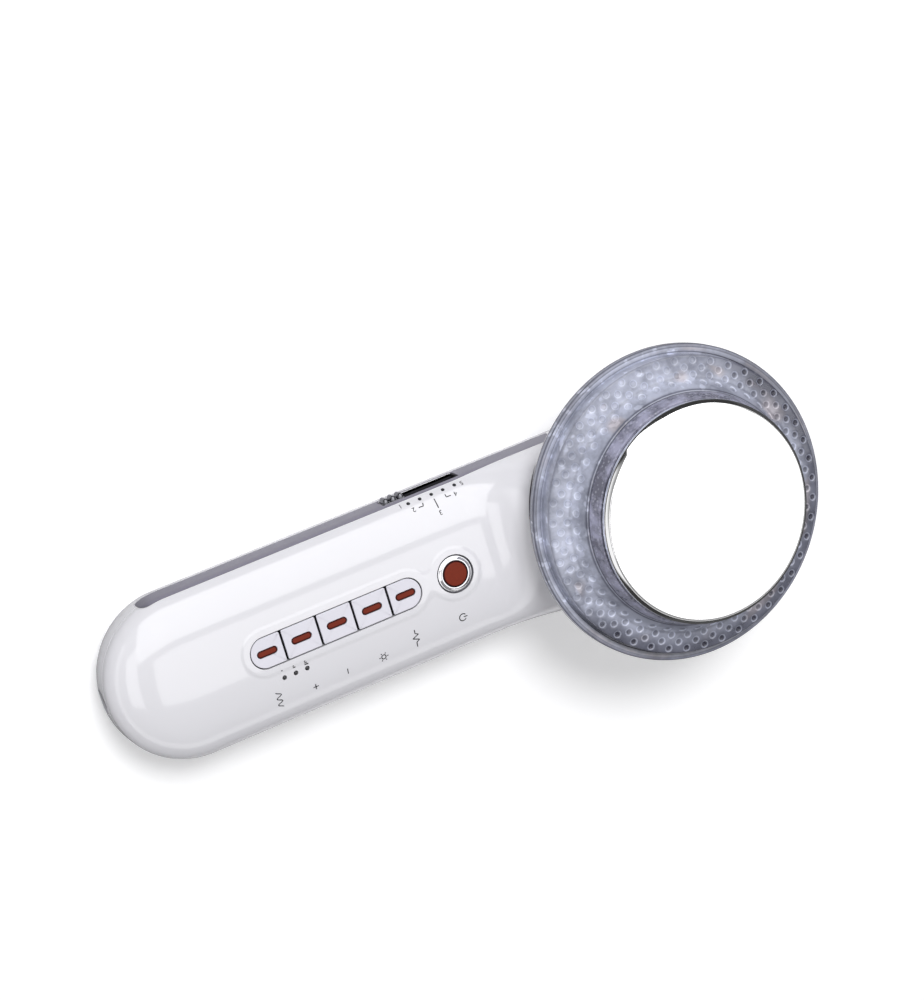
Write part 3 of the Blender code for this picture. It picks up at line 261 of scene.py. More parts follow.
def surface(name, points, wrap_rows=False, wrap_columns=False, **values):
    """A mesh from a grid of points, with one quad between each four neighbours.

    points has the shape (rows, columns, 3). Each extra value is an array of one number for each
    point, or for each row, and becomes an attribute of that name.
    """
    rows, columns = points.shape[:2]
    index = np.arange(rows * columns).reshape(rows, columns)
    if wrap_rows:
        index = np.vstack([index, index[:1]])
    if wrap_columns:
        index = np.hstack([index, index[:, :1]])
    corners = (index[:-1, :-1], index[1:, :-1], index[1:, 1:], index[:-1, 1:])
    mesh = bpy.data.meshes.new(name)
    mesh.from_pydata(points.reshape(-1, 3), [], np.stack(corners, axis=-1).reshape(-1, 4))
    for label, value in values.items():
        value = np.asarray(value, float)
        full = value[:, None] if value.ndim == 1 else value
        spread = np.broadcast_to(full, (rows, columns)).reshape(-1).astype(np.float32)
        mesh.attributes.new(label, "FLOAT", "POINT").data.foreach_set("value", spread)
    return mesh


def closed(mesh):
    """The mesh with its poles and seams merged and its faces turned outwards."""
    bm = bmesh.new()
    bm.from_mesh(mesh)
    bmesh.ops.remove_doubles(bm, verts=bm.verts, dist=WELD)
    bmesh.ops.recalc_face_normals(bm, faces=bm.faces)
    bm.to_mesh(mesh)
    bm.free()
    return mesh


def joined(name, meshes):
    """One mesh out of several, with their attributes kept."""
    bm = bmesh.new()
    for mesh in meshes:
        bm.from_mesh(mesh)
    result = bpy.data.meshes.new(name)
    bm.to_mesh(result)
    bm.free()
    return result


def corners_of(mesh):
    """The mesh's points as an array of (x, y, z) rows."""
    points = np.empty(len(mesh.vertices) * 3)
    mesh.vertices.foreach_get("co", points)
    return points.reshape(-1, 3)


def less(*meshes):
    """Steps for carved that take the meshes away."""
    return [("DIFFERENCE", mesh) for mesh in meshes]


def carved(mesh, *steps):
    """The mesh after Booleans with other closed meshes: (operation, mesh) for each step."""
    base = placed("blank", mesh)
    tools = []
    for operation, other in steps:
        tools.append(placed("tool", other))
        change = base.modifiers.new(operation, "BOOLEAN")
        change.operation, change.solver, change.object = operation, "MANIFOLD", tools[-1]
    result = evaluated(base)
    result.name = mesh.name
    for item in (base, *tools):
        bpy.data.objects.remove(item)
    return result


def rounded(corners, radius, steps=5):
    """A polyline with each inner corner drawn as a quadratic curve: the corner is its handle."""
    corners = np.asarray(corners, float)
    radius = np.broadcast_to(radius, len(corners) - 2)
    path = [corners[:1]]
    t = np.linspace(0, 1, steps)[:, None]
    for before, corner, after, cut in zip(corners, corners[1:], corners[2:], radius):
        start = corner + (before - corner) * min(cut / np.linalg.norm(before - corner), 0.5)
        end = corner + (after - corner) * min(cut / np.linalg.norm(after - corner), 0.5)
        path.append((1 - t) ** 2 * start + 2 * t * (1 - t) * corner + t**2 * end)
    path.append(corners[-1:])
    return np.vstack(path)


def along(path):
    """The distance from the start of a polyline to each of its points."""
    steps = np.linalg.norm(np.diff(path, axis=0), axis=1)
    return np.concatenate([[0], np.cumsum(steps)])


def even(path, spacing):
    """The polyline with its points spread evenly, about a spacing apart."""
    path = np.asarray(path, float)
    run = along(path)
    at = np.linspace(0, run[-1], max(int(round(run[-1] / spacing)), 1) + 1)
    return np.column_stack([np.interp(at, run, path[:, axis]) for axis in range(path.shape[1])])


def turned(name, profile, centre, steps=128, **values):
    """A profile of (radius, height) turned about the vertical through centre."""
    angle = np.linspace(0, math.tau, steps, endpoint=False)
    radius, height = np.asarray(profile, float).T[:2, :, None]
    x = centre[0] + radius * np.cos(angle)
    y = centre[1] + radius * np.sin(angle)
    points = np.stack([x, y, np.broadcast_to(height + centre[2], x.shape)], axis=-1)
    return closed(surface(name, points, wrap_columns=True, **values))


def outline(lowest, highest, radii, steps=9):
    """A box in plan with round corners, as points and outward directions, anticlockwise.

    The corners come in the order right low, right high, left high, left low. Each is a quarter of
    a circle: its centre plus its radius times the direction.
    """
    signs = np.array([(1, -1), (1, 1), (-1, 1), (-1, -1)])
    radii = np.broadcast_to(radii, 4)[:, None, None]
    reach = (np.asarray(highest) - np.asarray(lowest)) / 2
    centre = (np.asarray(highest) + np.asarray(lowest)) / 2
    angle = np.radians([-90, 0, 90, 180])[:, None] + np.linspace(0, math.pi / 2, steps)
    outward = np.stack([np.cos(angle), np.sin(angle)], axis=-1)
    corner = centre + signs[:, None, :] * (reach - radii)
    return (corner + radii * outward).reshape(-1, 2), outward.reshape(-1, 2)


def carried(name, plan, profile, plane="XY", cap=True, ring=False, **values):
    """A profile of (offset outwards, height) carried round a plan of points and directions.

    A cap adds a last ring drawn in to the plan's middle line. A ring joins the profile's ends.
    The plane XZ stands the plan up, with its height along Y.
    """
    points, outward = plan
    offset, height = np.asarray(profile, float).T
    flat = points + outward * offset[:, None, None]
    rise = np.broadcast_to(height[:, None], flat.shape[:2])
    if cap:
        centre = (points.max(0) + points.min(0)) / 2
        reach = (points.max(0) - points.min(0)) / 2
        spine = np.maximum(reach - reach.min(), 0)
        ends = centre + np.clip(flat - centre, -spine, spine)
        flat = np.concatenate([ends[:1], flat, ends[-1:]])
        rise = np.concatenate([rise[:1], rise, rise[-1:]])
    grid = np.concatenate([flat, rise[..., None]], axis=-1)
    if plane == "XZ":
        grid = grid[..., [0, 2, 1]]
    return closed(surface(name, grid, wrap_rows=ring, wrap_columns=True, **values))


def drum(radius, centre, bottom, top, steps=48):
    """An upright cylinder for a Boolean."""
    return turned("drum", [(0, bottom), (radius, bottom), (radius, top), (0, top)], (*centre, 0), steps)


def slab(plan, bottom, top, plane="XY"):
    """A straight-sided block on a plan, for a Boolean."""
    return carried("slab", plan, [(0, bottom), (0, top)], plane)


# Materials


class Socket:
    """An output of a shader node, on which Python arithmetic adds Math nodes."""

    def __init__(self, nodes, link):
        self.nodes, self.link = nodes, link

    def maths(self, operation, *values):
        return self.nodes.node("ShaderNodeMath", {"operation": operation}, dict(enumerate(values)))

    def __add__(self, other):
        return self.maths("ADD", self, other)

    def __sub__(self, other):
        return self.maths("SUBTRACT", self, other)

    def __rsub__(self, other):
        return self.maths("SUBTRACT", other, self)

    def __mul__(self, other):
        return self.maths("MULTIPLY", self, other)

    def __gt__(self, other):
        return self.maths("GREATER_THAN", self, other)

    __radd__, __rmul__ = __add__, __mul__

    def root(self):
        return self.maths("SQRT", self)

    def clipped(self):
        return self.maths("MINIMUM", self.maths("MAXIMUM", self, 0), 1)

    def smooth(self, start, end):
        """0 below start and 1 above end, with a soft step between."""
        inputs = {"Value": self, "From Min": start, "From Max": end}
        return self.nodes.node("ShaderNodeMapRange", {"interpolation_type": "SMOOTHSTEP"}, inputs)


class Nodes:
    """A node tree, and the calls that add nodes to it."""

    def __init__(self, tree):
        self.tree = tree

    def put(self, socket, value):
        if isinstance(value, Socket):
            self.tree.links.new(value.link, socket)
        elif socket.type == "RGBA":
            socket.default_value = (*value[:3], 1.0)
        else:
            socket.default_value = value

    def node(self, kind, settings=None, inputs=None, output=0):
        """Any node: its settings first, then its sockets by name or number, then one output."""
        made = self.tree.nodes.new(kind)
        for label, value in (settings or {}).items():
            setattr(made, label, value)
        for label, value in (inputs or {}).items():
            self.put(made.inputs[label], value)
        return Socket(self, made.outputs[output])

    def place(self):
        return self.node("ShaderNodeTexCoord", output="Object")

    def axes(self, vector=None):
        """X, Y and Z of the place on the piece, or of another vector."""
        made = self.tree.nodes.new("ShaderNodeSeparateXYZ")
        self.put(made.inputs[0], vector or self.place())
        return [Socket(self, output) for output in made.outputs]

    def attribute(self, label):
        return self.node("ShaderNodeAttribute", {"attribute_name": label}, output="Fac")

    def noise(self, scale, detail=2.0, roughness=0.5, vector=None):
        vector = vector or self.place()
        inputs = {"Vector": vector, "Scale": scale, "Detail": detail, "Roughness": roughness}
        return self.node("ShaderNodeTexNoise", None, inputs)

    def cells(self, scale):
        return self.node("ShaderNodeTexVoronoi", None, {"Vector": self.place(), "Scale": scale})

    def mix(self, factor, first, second):
        """A colour between two colours."""
        inputs = {0: factor, 6: first, 7: second}
        return self.node("ShaderNodeMix", {"data_type": "RGBA"}, inputs, output=2)

    def tones(self, factor, base, first, second):
        """A colour between two shades of one."""
        return self.mix(factor, shade(base, first), shade(base, second))

    def rays(self):
        """1 for rays from the camera and through glass, and 1 for rays off gloss."""
        outputs = self.tree.nodes.new("ShaderNodeLightPath").outputs
        labels = ("Is Camera Ray", "Is Glossy Ray", "Is Transmission Ray")
        camera, gloss, through = (Socket(self, outputs[label]) for label in labels)
        return (camera + through).clipped(), gloss


class Finish(Nodes):
    """A Principled material."""

    def __init__(self, name, base, roughness, **constants):
        self.material = bpy.data.materials.new(name)
        self.material.use_nodes = True
        super().__init__(self.material.node_tree)
        self.shader = self.tree.nodes["Principled BSDF"]
        self.set("Base Color", base)
        self.set("Roughness", roughness)
        for label, value in constants.items():
            self.set(label.replace("_", " ").title().replace("Ior", "IOR"), value)

    def set(self, label, value):
        self.put(self.shader.inputs[label], value)
        return self

    def bump(self, height, distance, strength):
        inputs = {"Height": height, "Distance": distance, "Strength": strength}
        return self.set("Normal", self.node("ShaderNodeBump", None, inputs))

    def on(self, *objects):
        """The finish on the given pieces, in place of what they had."""
        return worn(self.material, *objects)


def worn(material, *objects):
    """The material in each slot of the pieces, or in a first slot."""
    for slots in (item.data.materials for item in objects):
        for place in range(len(slots)):
            slots[place] = material
        if not slots:
            slots.append(material)


def shade(rgb, factor):
    return tuple(min(value * factor, 1.0) for value in rgb)


def glossy_plastic(name, base, roughness=0.12, coat=1.0):
    """Moulded plastic: a faint flow in its colour, a slight ripple and fine rubbing in its gloss."""
    wear = 0.04
    made = Finish(name, base, roughness, coat_weight=coat, coat_roughness=0.03, ior=1.5)
    made.set("Base Color", made.tones(made.noise(18, 3.0).smooth(0.3, 0.7), base, 0.985, 1.01))
    made.set("Roughness", made.noise(900, 2.0, 0.7) * wear + (roughness - wear / 2))
    return made.bump(made.noise(70, 1.0), 0.00002, 0.35)


def satin_plastic(name, base, roughness=0.42, grain=2600):
    """Spark-eroded plastic: a fine even grain in its surface and a little in its colour."""
    made = Finish(name, base, roughness, ior=1.48)
    fine = made.noise(grain, 2.0, 0.6)
    made.set("Base Color", made.tones(fine, base, 0.93, 1.07))
    made.set("Roughness", fine * 0.18 + (roughness - 0.09))
    return made.bump(fine, 0.00003, 0.5)


def bright_metal(name, base, roughness):
    """Polished metal: fine lines from the last buffing and a soft haze in its gloss."""
    made = Finish(name, base, roughness, metallic=1.0)
    stretch = made.node("ShaderNodeMapping", None, {"Vector": made.place(), "Scale": (40, 40, 4000)})
    haze = made.noise(60)
    made.set("Roughness", (made.noise(1.0, 2.0, 0.6, stretch) * 0.08 + roughness) * (haze * 0.5 + 0.75))
    return made.set("Base Color", made.tones(haze, base, 0.97, 1.02))


# The handle's form

CROWN_MIDDLE = 0.0095  # half width of the evenly spaced middle of the face


def crown_height(form, across, inset=0.0):
    """Height of the face at an offset: a superellipse, (offset / half)^p + (rise / crown)^p = 1."""
    part = np.clip(np.abs(across) / (form.half_width - inset), 0, 1)
    rise = (1 - part**form.crown_power) ** (1 / form.crown_power)
    return form.side_top + (form.crown - inset) * rise


def ramp_height(form, x):
    """Rise towards the head at x: the ramp's rise times the square of the share of its length."""
    part = np.clip((x - (HEAD_X - form.ramp_start)) / form.ramp_length, 0, 1)
    return form.ramp_rise * part**2


def border_rise(form, keys, x, y):
    """Raised border: one soft step of the distance to the key row and the power ring.

    The distance to the row is that to a line less its radius, the distance to the ring that to
    its centre less its radius, and a polynomial smooth minimum of both makes the neck.
    """
    half = keys.row_width / 2
    beside = np.maximum(np.abs(x - ROW_X) - (keys.row_length / 2 - half), 0)
    to_row = np.hypot(beside, y) - half
    to_ring = np.hypot(x - POWER_X, y) - keys.bezel_radius
    blend = np.clip(0.5 + 0.5 * (to_ring - to_row) / form.border_neck, 0, 1)
    distance = to_ring + (to_row - to_ring) * blend - form.border_neck * blend * (1 - blend)
    part = np.clip((form.border_width - distance) / form.border_soft, 0, 1)
    return form.border_height * part * part * (3 - 2 * part)


def face_height(form, keys, x, y):
    """The face of the handle with its ramp and its raised border."""
    crown = crown_height(form, y)
    part = (crown - form.side_top) / form.crown
    return crown + part * ramp_height(form, x) + border_rise(form, keys, x, y)


def crown_section(form, inset, fine):
    """Half of the crowned face as (offset, height, share of the ramp), from its middle out.

    Its middle is evenly spaced, and from there it follows the superellipse's own angle.
    """
    half = form.half_width - inset
    end = math.acos((CROWN_MIDDLE / half) ** (form.crown_power / 2))
    angle = np.linspace(end, 0, 34)[1:]
    outer = half * np.cos(angle) ** (2 / form.crown_power)
    across = np.concatenate([np.linspace(0, CROWN_MIDDLE, fine), outer])
    height = crown_height(form, across, inset)
    return np.column_stack([across, height, (height - form.side_top) / (form.crown - inset)])


def side_run(form, start, end, steps, inset=0.0):
    """The upright side from one height to another, as (offset, height, 0)."""
    height = np.linspace(start, end, steps)
    return np.column_stack([np.full(steps, form.half_width - inset), height, 0 * height])


def swell(flat, reach, top, bottom, power, steps):
    """A quarter of a superellipse, from its side in to its flat: the offsets are the flat plus the
    reach times cos^(2/p), the heights the top less the drop times sin^(2/p)."""
    angle = np.linspace(0, math.pi / 2, steps)
    offset = flat + reach * np.cos(angle) ** (2 / power)
    return offset, top - (top - bottom) * np.sin(angle) ** (2 / power)


def back_section(form, inset):
    """Half of the back as (offset, height, 0), from its side in to the middle of its flat."""
    reach = form.half_width - inset - form.back_flat
    across, height = swell(form.back_flat, reach, form.side_low, inset, form.back_power, 22)
    across = np.append(across, np.linspace(form.back_flat, 0, 7)[1:])
    height = np.append(height, np.full(6, inset))
    return np.column_stack([across, height, 0 * across])


def handle_stations(form, keys):
    """Stations round the handle's spine as (x, angle): close together where the border turns."""
    butt = BUTT_X + form.half_width
    reach = keys.row_length / 2 + form.border_width
    power = POWER_X + keys.bezel_radius + form.border_width
    ramp, end = HEAD_X - form.ramp_start, HEAD_X - form.spine_end
    past, turn_in, nearest, last = 0.0005, 0.008, 0.0002, 0.014
    row_start, row_end = ROW_X - reach, ROW_X + reach
    stops = (butt, row_start - past, row_start + turn_in, row_end - turn_in, power + past, ramp)
    spans = zip(stops, stops[1:], (7, 30, 24, 74, 8))
    runs = [np.linspace(start, stop, places, endpoint=False) for start, stop, places in spans]
    runs += [np.linspace(ramp, ramp + form.ramp_length, 30), [end - last, end]]
    side = np.unique(np.concatenate(runs))
    side = side[np.append(True, np.diff(side) > nearest)]
    quarter = math.pi / 2
    turn = np.linspace(quarter, 3 * quarter, 72)[1:-1]
    tip = np.linspace(-quarter, quarter, 24)[1:-1]
    x = np.concatenate([side[::-1], np.full(len(turn), butt), side, np.full(len(tip), end)])
    angle = np.concatenate([np.full(len(side), quarter), turn, np.full(len(side), -quarter), tip])
    return x, angle


def handle_surface(form, keys, section, name="handle"):
    """A section of (offset, height, ramp share) carried round the stations: each point is the
    station plus the offset in the station's direction, raised by its share of the ramp."""
    x, angle = handle_stations(form, keys)
    across, height, part = section.T
    px = x[:, None] + across * np.cos(angle)[:, None]
    py = across * np.sin(angle)[:, None]
    pz = height + part * (ramp_height(form, px) + border_rise(form, keys, px, py) * (part > 0.5))
    return closed(surface(name, np.stack([px, py, pz], axis=-1), wrap_rows=True))


def handle_solid(form, keys):
    """The whole handle as one closed body, for trimming what lies in its side."""
    side = side_run(form, form.side_top, form.side_low, 3)[1:]
    section = np.vstack([crown_section(form, 0, 12), side, back_section(form, 0)[1:]])
    return handle_surface(form, keys, section)


def bowl_solid(form, head, inset, open_top=0.0):
    """The bowl as a closed body: a superellipse of (radius, height) from its rim in to the middle
    of its back, turned about the head's axis. An open top stands up to go through the rim."""
    top = low("head_cover")[2] - form.gap
    bottom = head.bowl_lift + inset
    reach = HEAD_RADIUS - head.bowl_inset - inset - head.bowl_flat
    radius, height = swell(head.bowl_flat, reach, top, bottom, head.bowl_power, 44)
    lid = [(0, height[0] + open_top), (radius[0], height[0] + open_top)][: 2 if open_top else 1]
    profile = np.vstack([lid, np.column_stack([radius, height]), [(0, bottom)]])
    return turned("bowl", profile, (HEAD_X, 0, 0), 160)


def band_plan(form, grow):
    """The side band in X and Z, round at the butt and square at the head."""
    lowest = low("side_band_right")[[0, 2]] - grow
    highest = high("side_band_right")[[0, 2]] + grow + (form.band_reach, 0)
    half, corner = (highest - lowest)[1] / 2, 0.0002
    return outline(lowest, highest, (corner, corner, half, half), 12)


def slot_plan(form, grow):
    """The opening that the mode slider runs in, in X and Z: its travel, and more at the head's end."""
    corner = 0.0004
    size = high("mode_slider") - low("mode_slider")
    reach = (size[0] + travel("mode_slide")) / 2 + form.gap
    lowest = np.array([SLOT_X - reach - grow, SPLIT_Z - form.slot_low - grow])
    highest = np.array([SLOT_X + reach + form.slot_spare + grow, SPLIT_Z + form.slot_high + grow])
    return outline(lowest, highest, corner + max(grow, 0))


def travel(joint):
    """How far a sliding joint of the frame goes."""
    found = [item for item in frame["joints"] if item["name"] == joint][0]
    return found["range_m"][1] - found["range_m"][0]


def side_cuts(form):
    """The seats of the two side bands and the opening for the slider."""
    inner = form.half_width - form.band_thickness - form.gap / 2
    outer = form.half_width + REACH
    plan = band_plan(form, form.gap / 2)
    seats = [slab(plan, *span, "XZ") for span in ((inner, outer), (-outer, -inner))]
    return (*seats, slab(slot_plan(form, form.gap), form.half_width - 2 * REACH, outer, "XZ"))


# Operators


class DEVICE_OT_front_shell(bpy.types.Operator):
    """Build the white upper shell with its raised border"""

    bl_idname = "facial_device.front_shell"
    bl_label = "Front Shell"

    def execute(self, context):
        form, keys, head, colours = device_settings(context)
        split = SPLIT_Z + form.gap / 2
        outside = [crown_section(form, 0, 38), side_run(form, form.side_top, split, 4)[1:]]
        rise = side_run(form, split, form.side_top, 2, form.wall)
        inside = [rise, crown_section(form, form.wall, 8)[-2::-1]]
        shell = handle_surface(form, keys, np.vstack(outside + inside), "front_shell_skin")
        half = np.array([keys.row_length, keys.row_width]) / 2
        row = outline((ROW_X - half[0], -half[1]), (ROW_X + half[0], half[1]), half[1], 20)
        span = (SPLIT_Z, BORDER_TOP + REACH)
        holes = [slab(row, *span), drum(keys.bezel_radius + form.gap / 2, (POWER_X, 0), *span, 96)]
        holes += [drum(keys.dot_radius + form.gap / 2, spot[:2], *span, 24) for spot in LIGHTS]
        bowl = bowl_solid(form, head, -form.gap, REACH + form.ramp_rise)
        shell = carved(shell, *less(bowl, *holes, *side_cuts(form)))
        piece = finished("front_shell_skin", shell, "handle", "white_plastic", "front_shell")
        worn(white_shell(colours), piece)
        return {"FINISHED"}


def white_shell(colours):
    """The one glossy white that both shells share."""
    name = "glossy white shell"
    return bpy.data.materials.get(name) or glossy_plastic(name, colours.white).material


class DEVICE_OT_back_shell(bpy.types.Operator):
    """Build the white lower shell in one with the bowl of the head"""

    bl_idname = "facial_device.back_shell"
    bl_label = "Back Shell"

    def execute(self, context):
        form, keys, head, colours = device_settings(context)
        split = SPLIT_Z - form.gap / 2
        mouth_radius, screw_hole, lid_inset = 0.0036, 0.0028, 0.001
        lid = np.array([(0, split, 0), (form.half_width - lid_inset, split, 0)])
        outside = [lid, side_run(form, split, form.side_low, 4), back_section(form, 0)[1:]]
        rise = side_run(form, split + REACH, form.side_low, 2, form.wall)
        inside = [lid + (0, REACH, 0), rise, back_section(form, form.wall)[1:]]
        shell = handle_surface(form, keys, np.vstack(outside), "back_shell_skin")
        hollow = handle_surface(form, keys, np.vstack(inside), "hollow")
        mouth = drum(mouth_radius, (0, 0), -REACH, REACH, 64)
        x, y, z = corners_of(mouth).T
        along_x = np.column_stack([z, y, -x]) + (BUTT_X, 0, middle("power_socket")[2])
        mouth.vertices.foreach_set("co", along_x.reshape(-1))
        mouth.update()
        spots = [middle(f"case_screw_{place}")[:2] for place in (1, 2, 3, 4)]
        holes = [drum(screw_hole, spot, -REACH, REACH, 40) for spot in spots]
        cuts = less(hollow, bowl_solid(form, head, form.wall, REACH), *holes, mouth, *side_cuts(form))
        shell = carved(shell, ("UNION", bowl_solid(form, head, 0)), *cuts)
        piece = finished("back_shell_skin", shell, "handle", "white_plastic", "back_shell")
        worn(white_shell(colours), piece)
        return {"FINISHED"}


class DEVICE_OT_side_bands(bpy.types.Operator):
    """Build the two grey side bands"""

    bl_idname = "facial_device.side_bands"
    bl_label = "Side Bands"

    def execute(self, context):
        form, keys, _, colours = device_settings(context)
        made = satin_plastic("grey satin band", colours.band, 0.36)
        x = made.axes()[0]
        butt, fade, soft = low("side_band_right")[0], 0.006, 0.0002
        # Painted shade: each band is painted darker over its last few millimetres towards the butt.
        dark = (1 - x.smooth(butt, butt + fade)) * 0.55
        tone = made.tones(made.noise(900), colours.band, 0.96, 1.05)
        made.set("Base Color", made.mix(dark, tone, shade(colours.band, 0.3)))
        thick, half = form.band_thickness, form.half_width
        rim = rounded([(0, 0), (0, thick), (-2 * soft, thick)], soft)
        for name, side in (("left", 1), ("right", -1)):
            profile = rim * (1, side) + (0, side * (half - thick))
            mesh = carried("side_band_" + name, band_plan(form, -form.gap / 2), profile, "XZ")
            mesh = carved(mesh, ("INTERSECT", handle_solid(form, keys)))
            if side > 0:
                mesh = carved(mesh, *less(slab(slot_plan(form, 0), half - REACH, half + REACH, "XZ")))
            made.on(finished(f"grey_band_{name}", mesh, "handle", "grey_plastic", f"side_band_{name}"))
        return {"FINISHED"}


class DEVICE_OT_mode_slider(bpy.types.Operator):
    """Build the opening's black lining, whose black also paints the shade deep in the opening, its chrome
    ledge, and the ridged knob of the mode slider
    """

    bl_idname = "facial_device.mode_slider"
    bl_label = "Mode Slider"

    def execute(self, context):
        form = context.scene.handle_form
        half = form.half_width
        sunk, thick, ledge, edge, ridge = 0.00025, 0.0006, 0.00035, 0.00012, 0.0013
        deep, flush = low("slider_track")[1] - form.slot_depth, half - sunk
        wall = [(-thick, deep), (0, deep), (0, flush), (-thick, flush)]
        plan = slot_plan(form, 0.0002)
        lining = carried("slider_track_plate", plan, wall, "XZ", cap=False, ring=True)
        # Black lining of the opening: its black also paints the shade deep inside the opening.
        black = satin_plastic("black slot", (0.012, 0.012, 0.016), 0.6)
        black.on(finished("slider_track_plate", lining, "handle", "black_plastic", "slider_track"))
        corners = slot_plan(form, -0.0004)[0]
        start, end, foot = corners[:, 0].min(), corners[:, 0].max(), corners[:, 1].min() - ledge
        rim = rounded([(0, half - form.rail_width), (0, half), (-edge, half)], edge / 2)
        plan = outline((start, foot), (end, foot + ledge), 0.0001, 5)
        chrome = bright_metal("chrome trim", (0.80, 0.80, 0.82), 0.06)
        rail = carried("slider_rail", plan, rim, "XZ")
        chrome.on(finished("slider_rail", rail, "handle", "chrome", "slider_track"))
        lowest, highest = low("mode_slider"), high("mode_slider")
        base = highest[1] - ridge
        root = half - 2 * form.band_thickness
        rise = rounded([(0, root), (0, base), (-0.0005, base)], 0.0003)
        parts = [carried("knob", outline(lowest[[0, 2]], highest[[0, 2]], 0.0005), rise, "XZ")]
        pitch = (highest - lowest)[0] / 3
        reach, sink, inset = pitch * 0.42, 0.0002, 0.0001
        angle = np.linspace(0, math.pi / 2, 9)
        across, up = reach * (np.cos(angle) - 1), base - sink + (ridge + sink) * np.sin(angle)
        for x in (lowest[0] + pitch * (place + 0.5) for place in range(3)):
            ends = (x - reach, lowest[2] + inset), (x + reach, highest[2] - inset)
            parts.append(carried("ridge", outline(*ends, reach * 0.98), np.column_stack([across, up]), "XZ"))
        dark = bright_metal("dark chrome", (0.20, 0.20, 0.22), 0.16)
        dark.on(finished("slider_knob", joined("slider_knob", parts), "mode_knob", "chrome", "mode_slider"))
        return {"FINISHED"}


class DEVICE_OT_keys(bpy.types.Operator):
    """Build the five key caps and their red windows"""

    bl_idname = "facial_device.keys"
    bl_label = "Keys"

    def execute(self, context):
        _, keys, _, colours = device_settings(context)
        plastic = glossy_plastic("satin key cap", colours.key, 0.3, 0.25)
        z = plastic.axes()[2]
        cap_top = high("key_1")[2]
        # Painted shade: each cap's sides below its top are painted nearly black, for the shade in the gaps
        # between the keys and round the row.
        dark_below, lit_above = 0.0006, 0.00015
        lit = z.smooth(cap_top - dark_below, cap_top - lit_above)
        tint = plastic.tones(plastic.noise(60), colours.key, 0.97, 1.02)
        plastic.set("Base Color", plastic.mix(lit, shade(colours.key, 0.12), tint))
        window = red_plastic("red window", colours)
        half, corner, top = keys.row_width / 2 - keys.edge, keys.corner, high("key_lens_1")[2]
        spare, soft, level, crest = 0.0001, 0.00022, top - 0.00004, top - 0.00003
        bevel = rounded([(0, top - keys.depth), (0, top), (-2 * keys.bevel, top)], keys.bevel)
        rim = rounded([(0, top - keys.lens_depth), (0, level), (-2 * soft, level)], soft)
        rim = np.vstack([rim, [(-3 * soft, crest)]])
        edge = np.clip(1 + rim[:, 0] / (3 * soft), 0, 1)
        edge = np.concatenate([edge[:1], edge, [0]])
        reach = np.array([keys.lens_length, keys.lens_width]) / 2
        for key in range(1, KEY_COUNT + 1):
            centre = ROW_X + keys.pitch * (key - (KEY_COUNT + 1) / 2)
            left = centre - keys.pitch / 2 + keys.split / 2
            right = centre + keys.pitch / 2 - keys.split / 2
            radii = [corner] * 4
            if key == 1:
                left, radii = ROW_X - keys.row_length / 2 + keys.edge, [corner, corner, half, half]
            if key == KEY_COUNT:
                right, radii = ROW_X + keys.row_length / 2 - keys.edge, [half, half, corner, corner]
            cap = carried(f"key_cap_{key}", outline((left, -half), (right, half), radii, 14), bevel)
            spot = middle(f"key_lens_{key}")[:2]
            plan = outline(spot - reach - spare, spot + reach + spare, reach[1] + spare, 12)
            cap = carved(cap, *less(slab(plan, top - keys.lens_depth, top + REACH)))
            cap = finished(
                f"key_cap_{key}", cap, f"key_{key}", "key_plastic", f"key_{key}", sharp=KEY_SHARP_ANGLE
            )
            plastic.on(cap)
            plan = outline(spot - reach, spot + reach, reach[1], 14)
            lens = carried(f"key_window_{key}", plan, rim, edge=edge)
            window.on(finished(f"key_window_{key}", lens, f"key_{key}", "red_plastic", f"key_lens_{key}"))
        return {"FINISHED"}


def red_plastic(name, colours):
    """Tinted window: brown-red inside, a dark rim from the edge attribute, and a faint mottle."""
    made = Finish(name, colours.red, 0.6, specular_ior_level=0.12)
    mottle = made.noise(1500)
    body = made.tones(mottle, colours.red, 0.88, 1.14)
    made.set("Base Color", made.mix(made.attribute("edge").smooth(0.15, 0.8), body, colours.red_edge))
    return made.set("Roughness", mottle * 0.12 + 0.5)


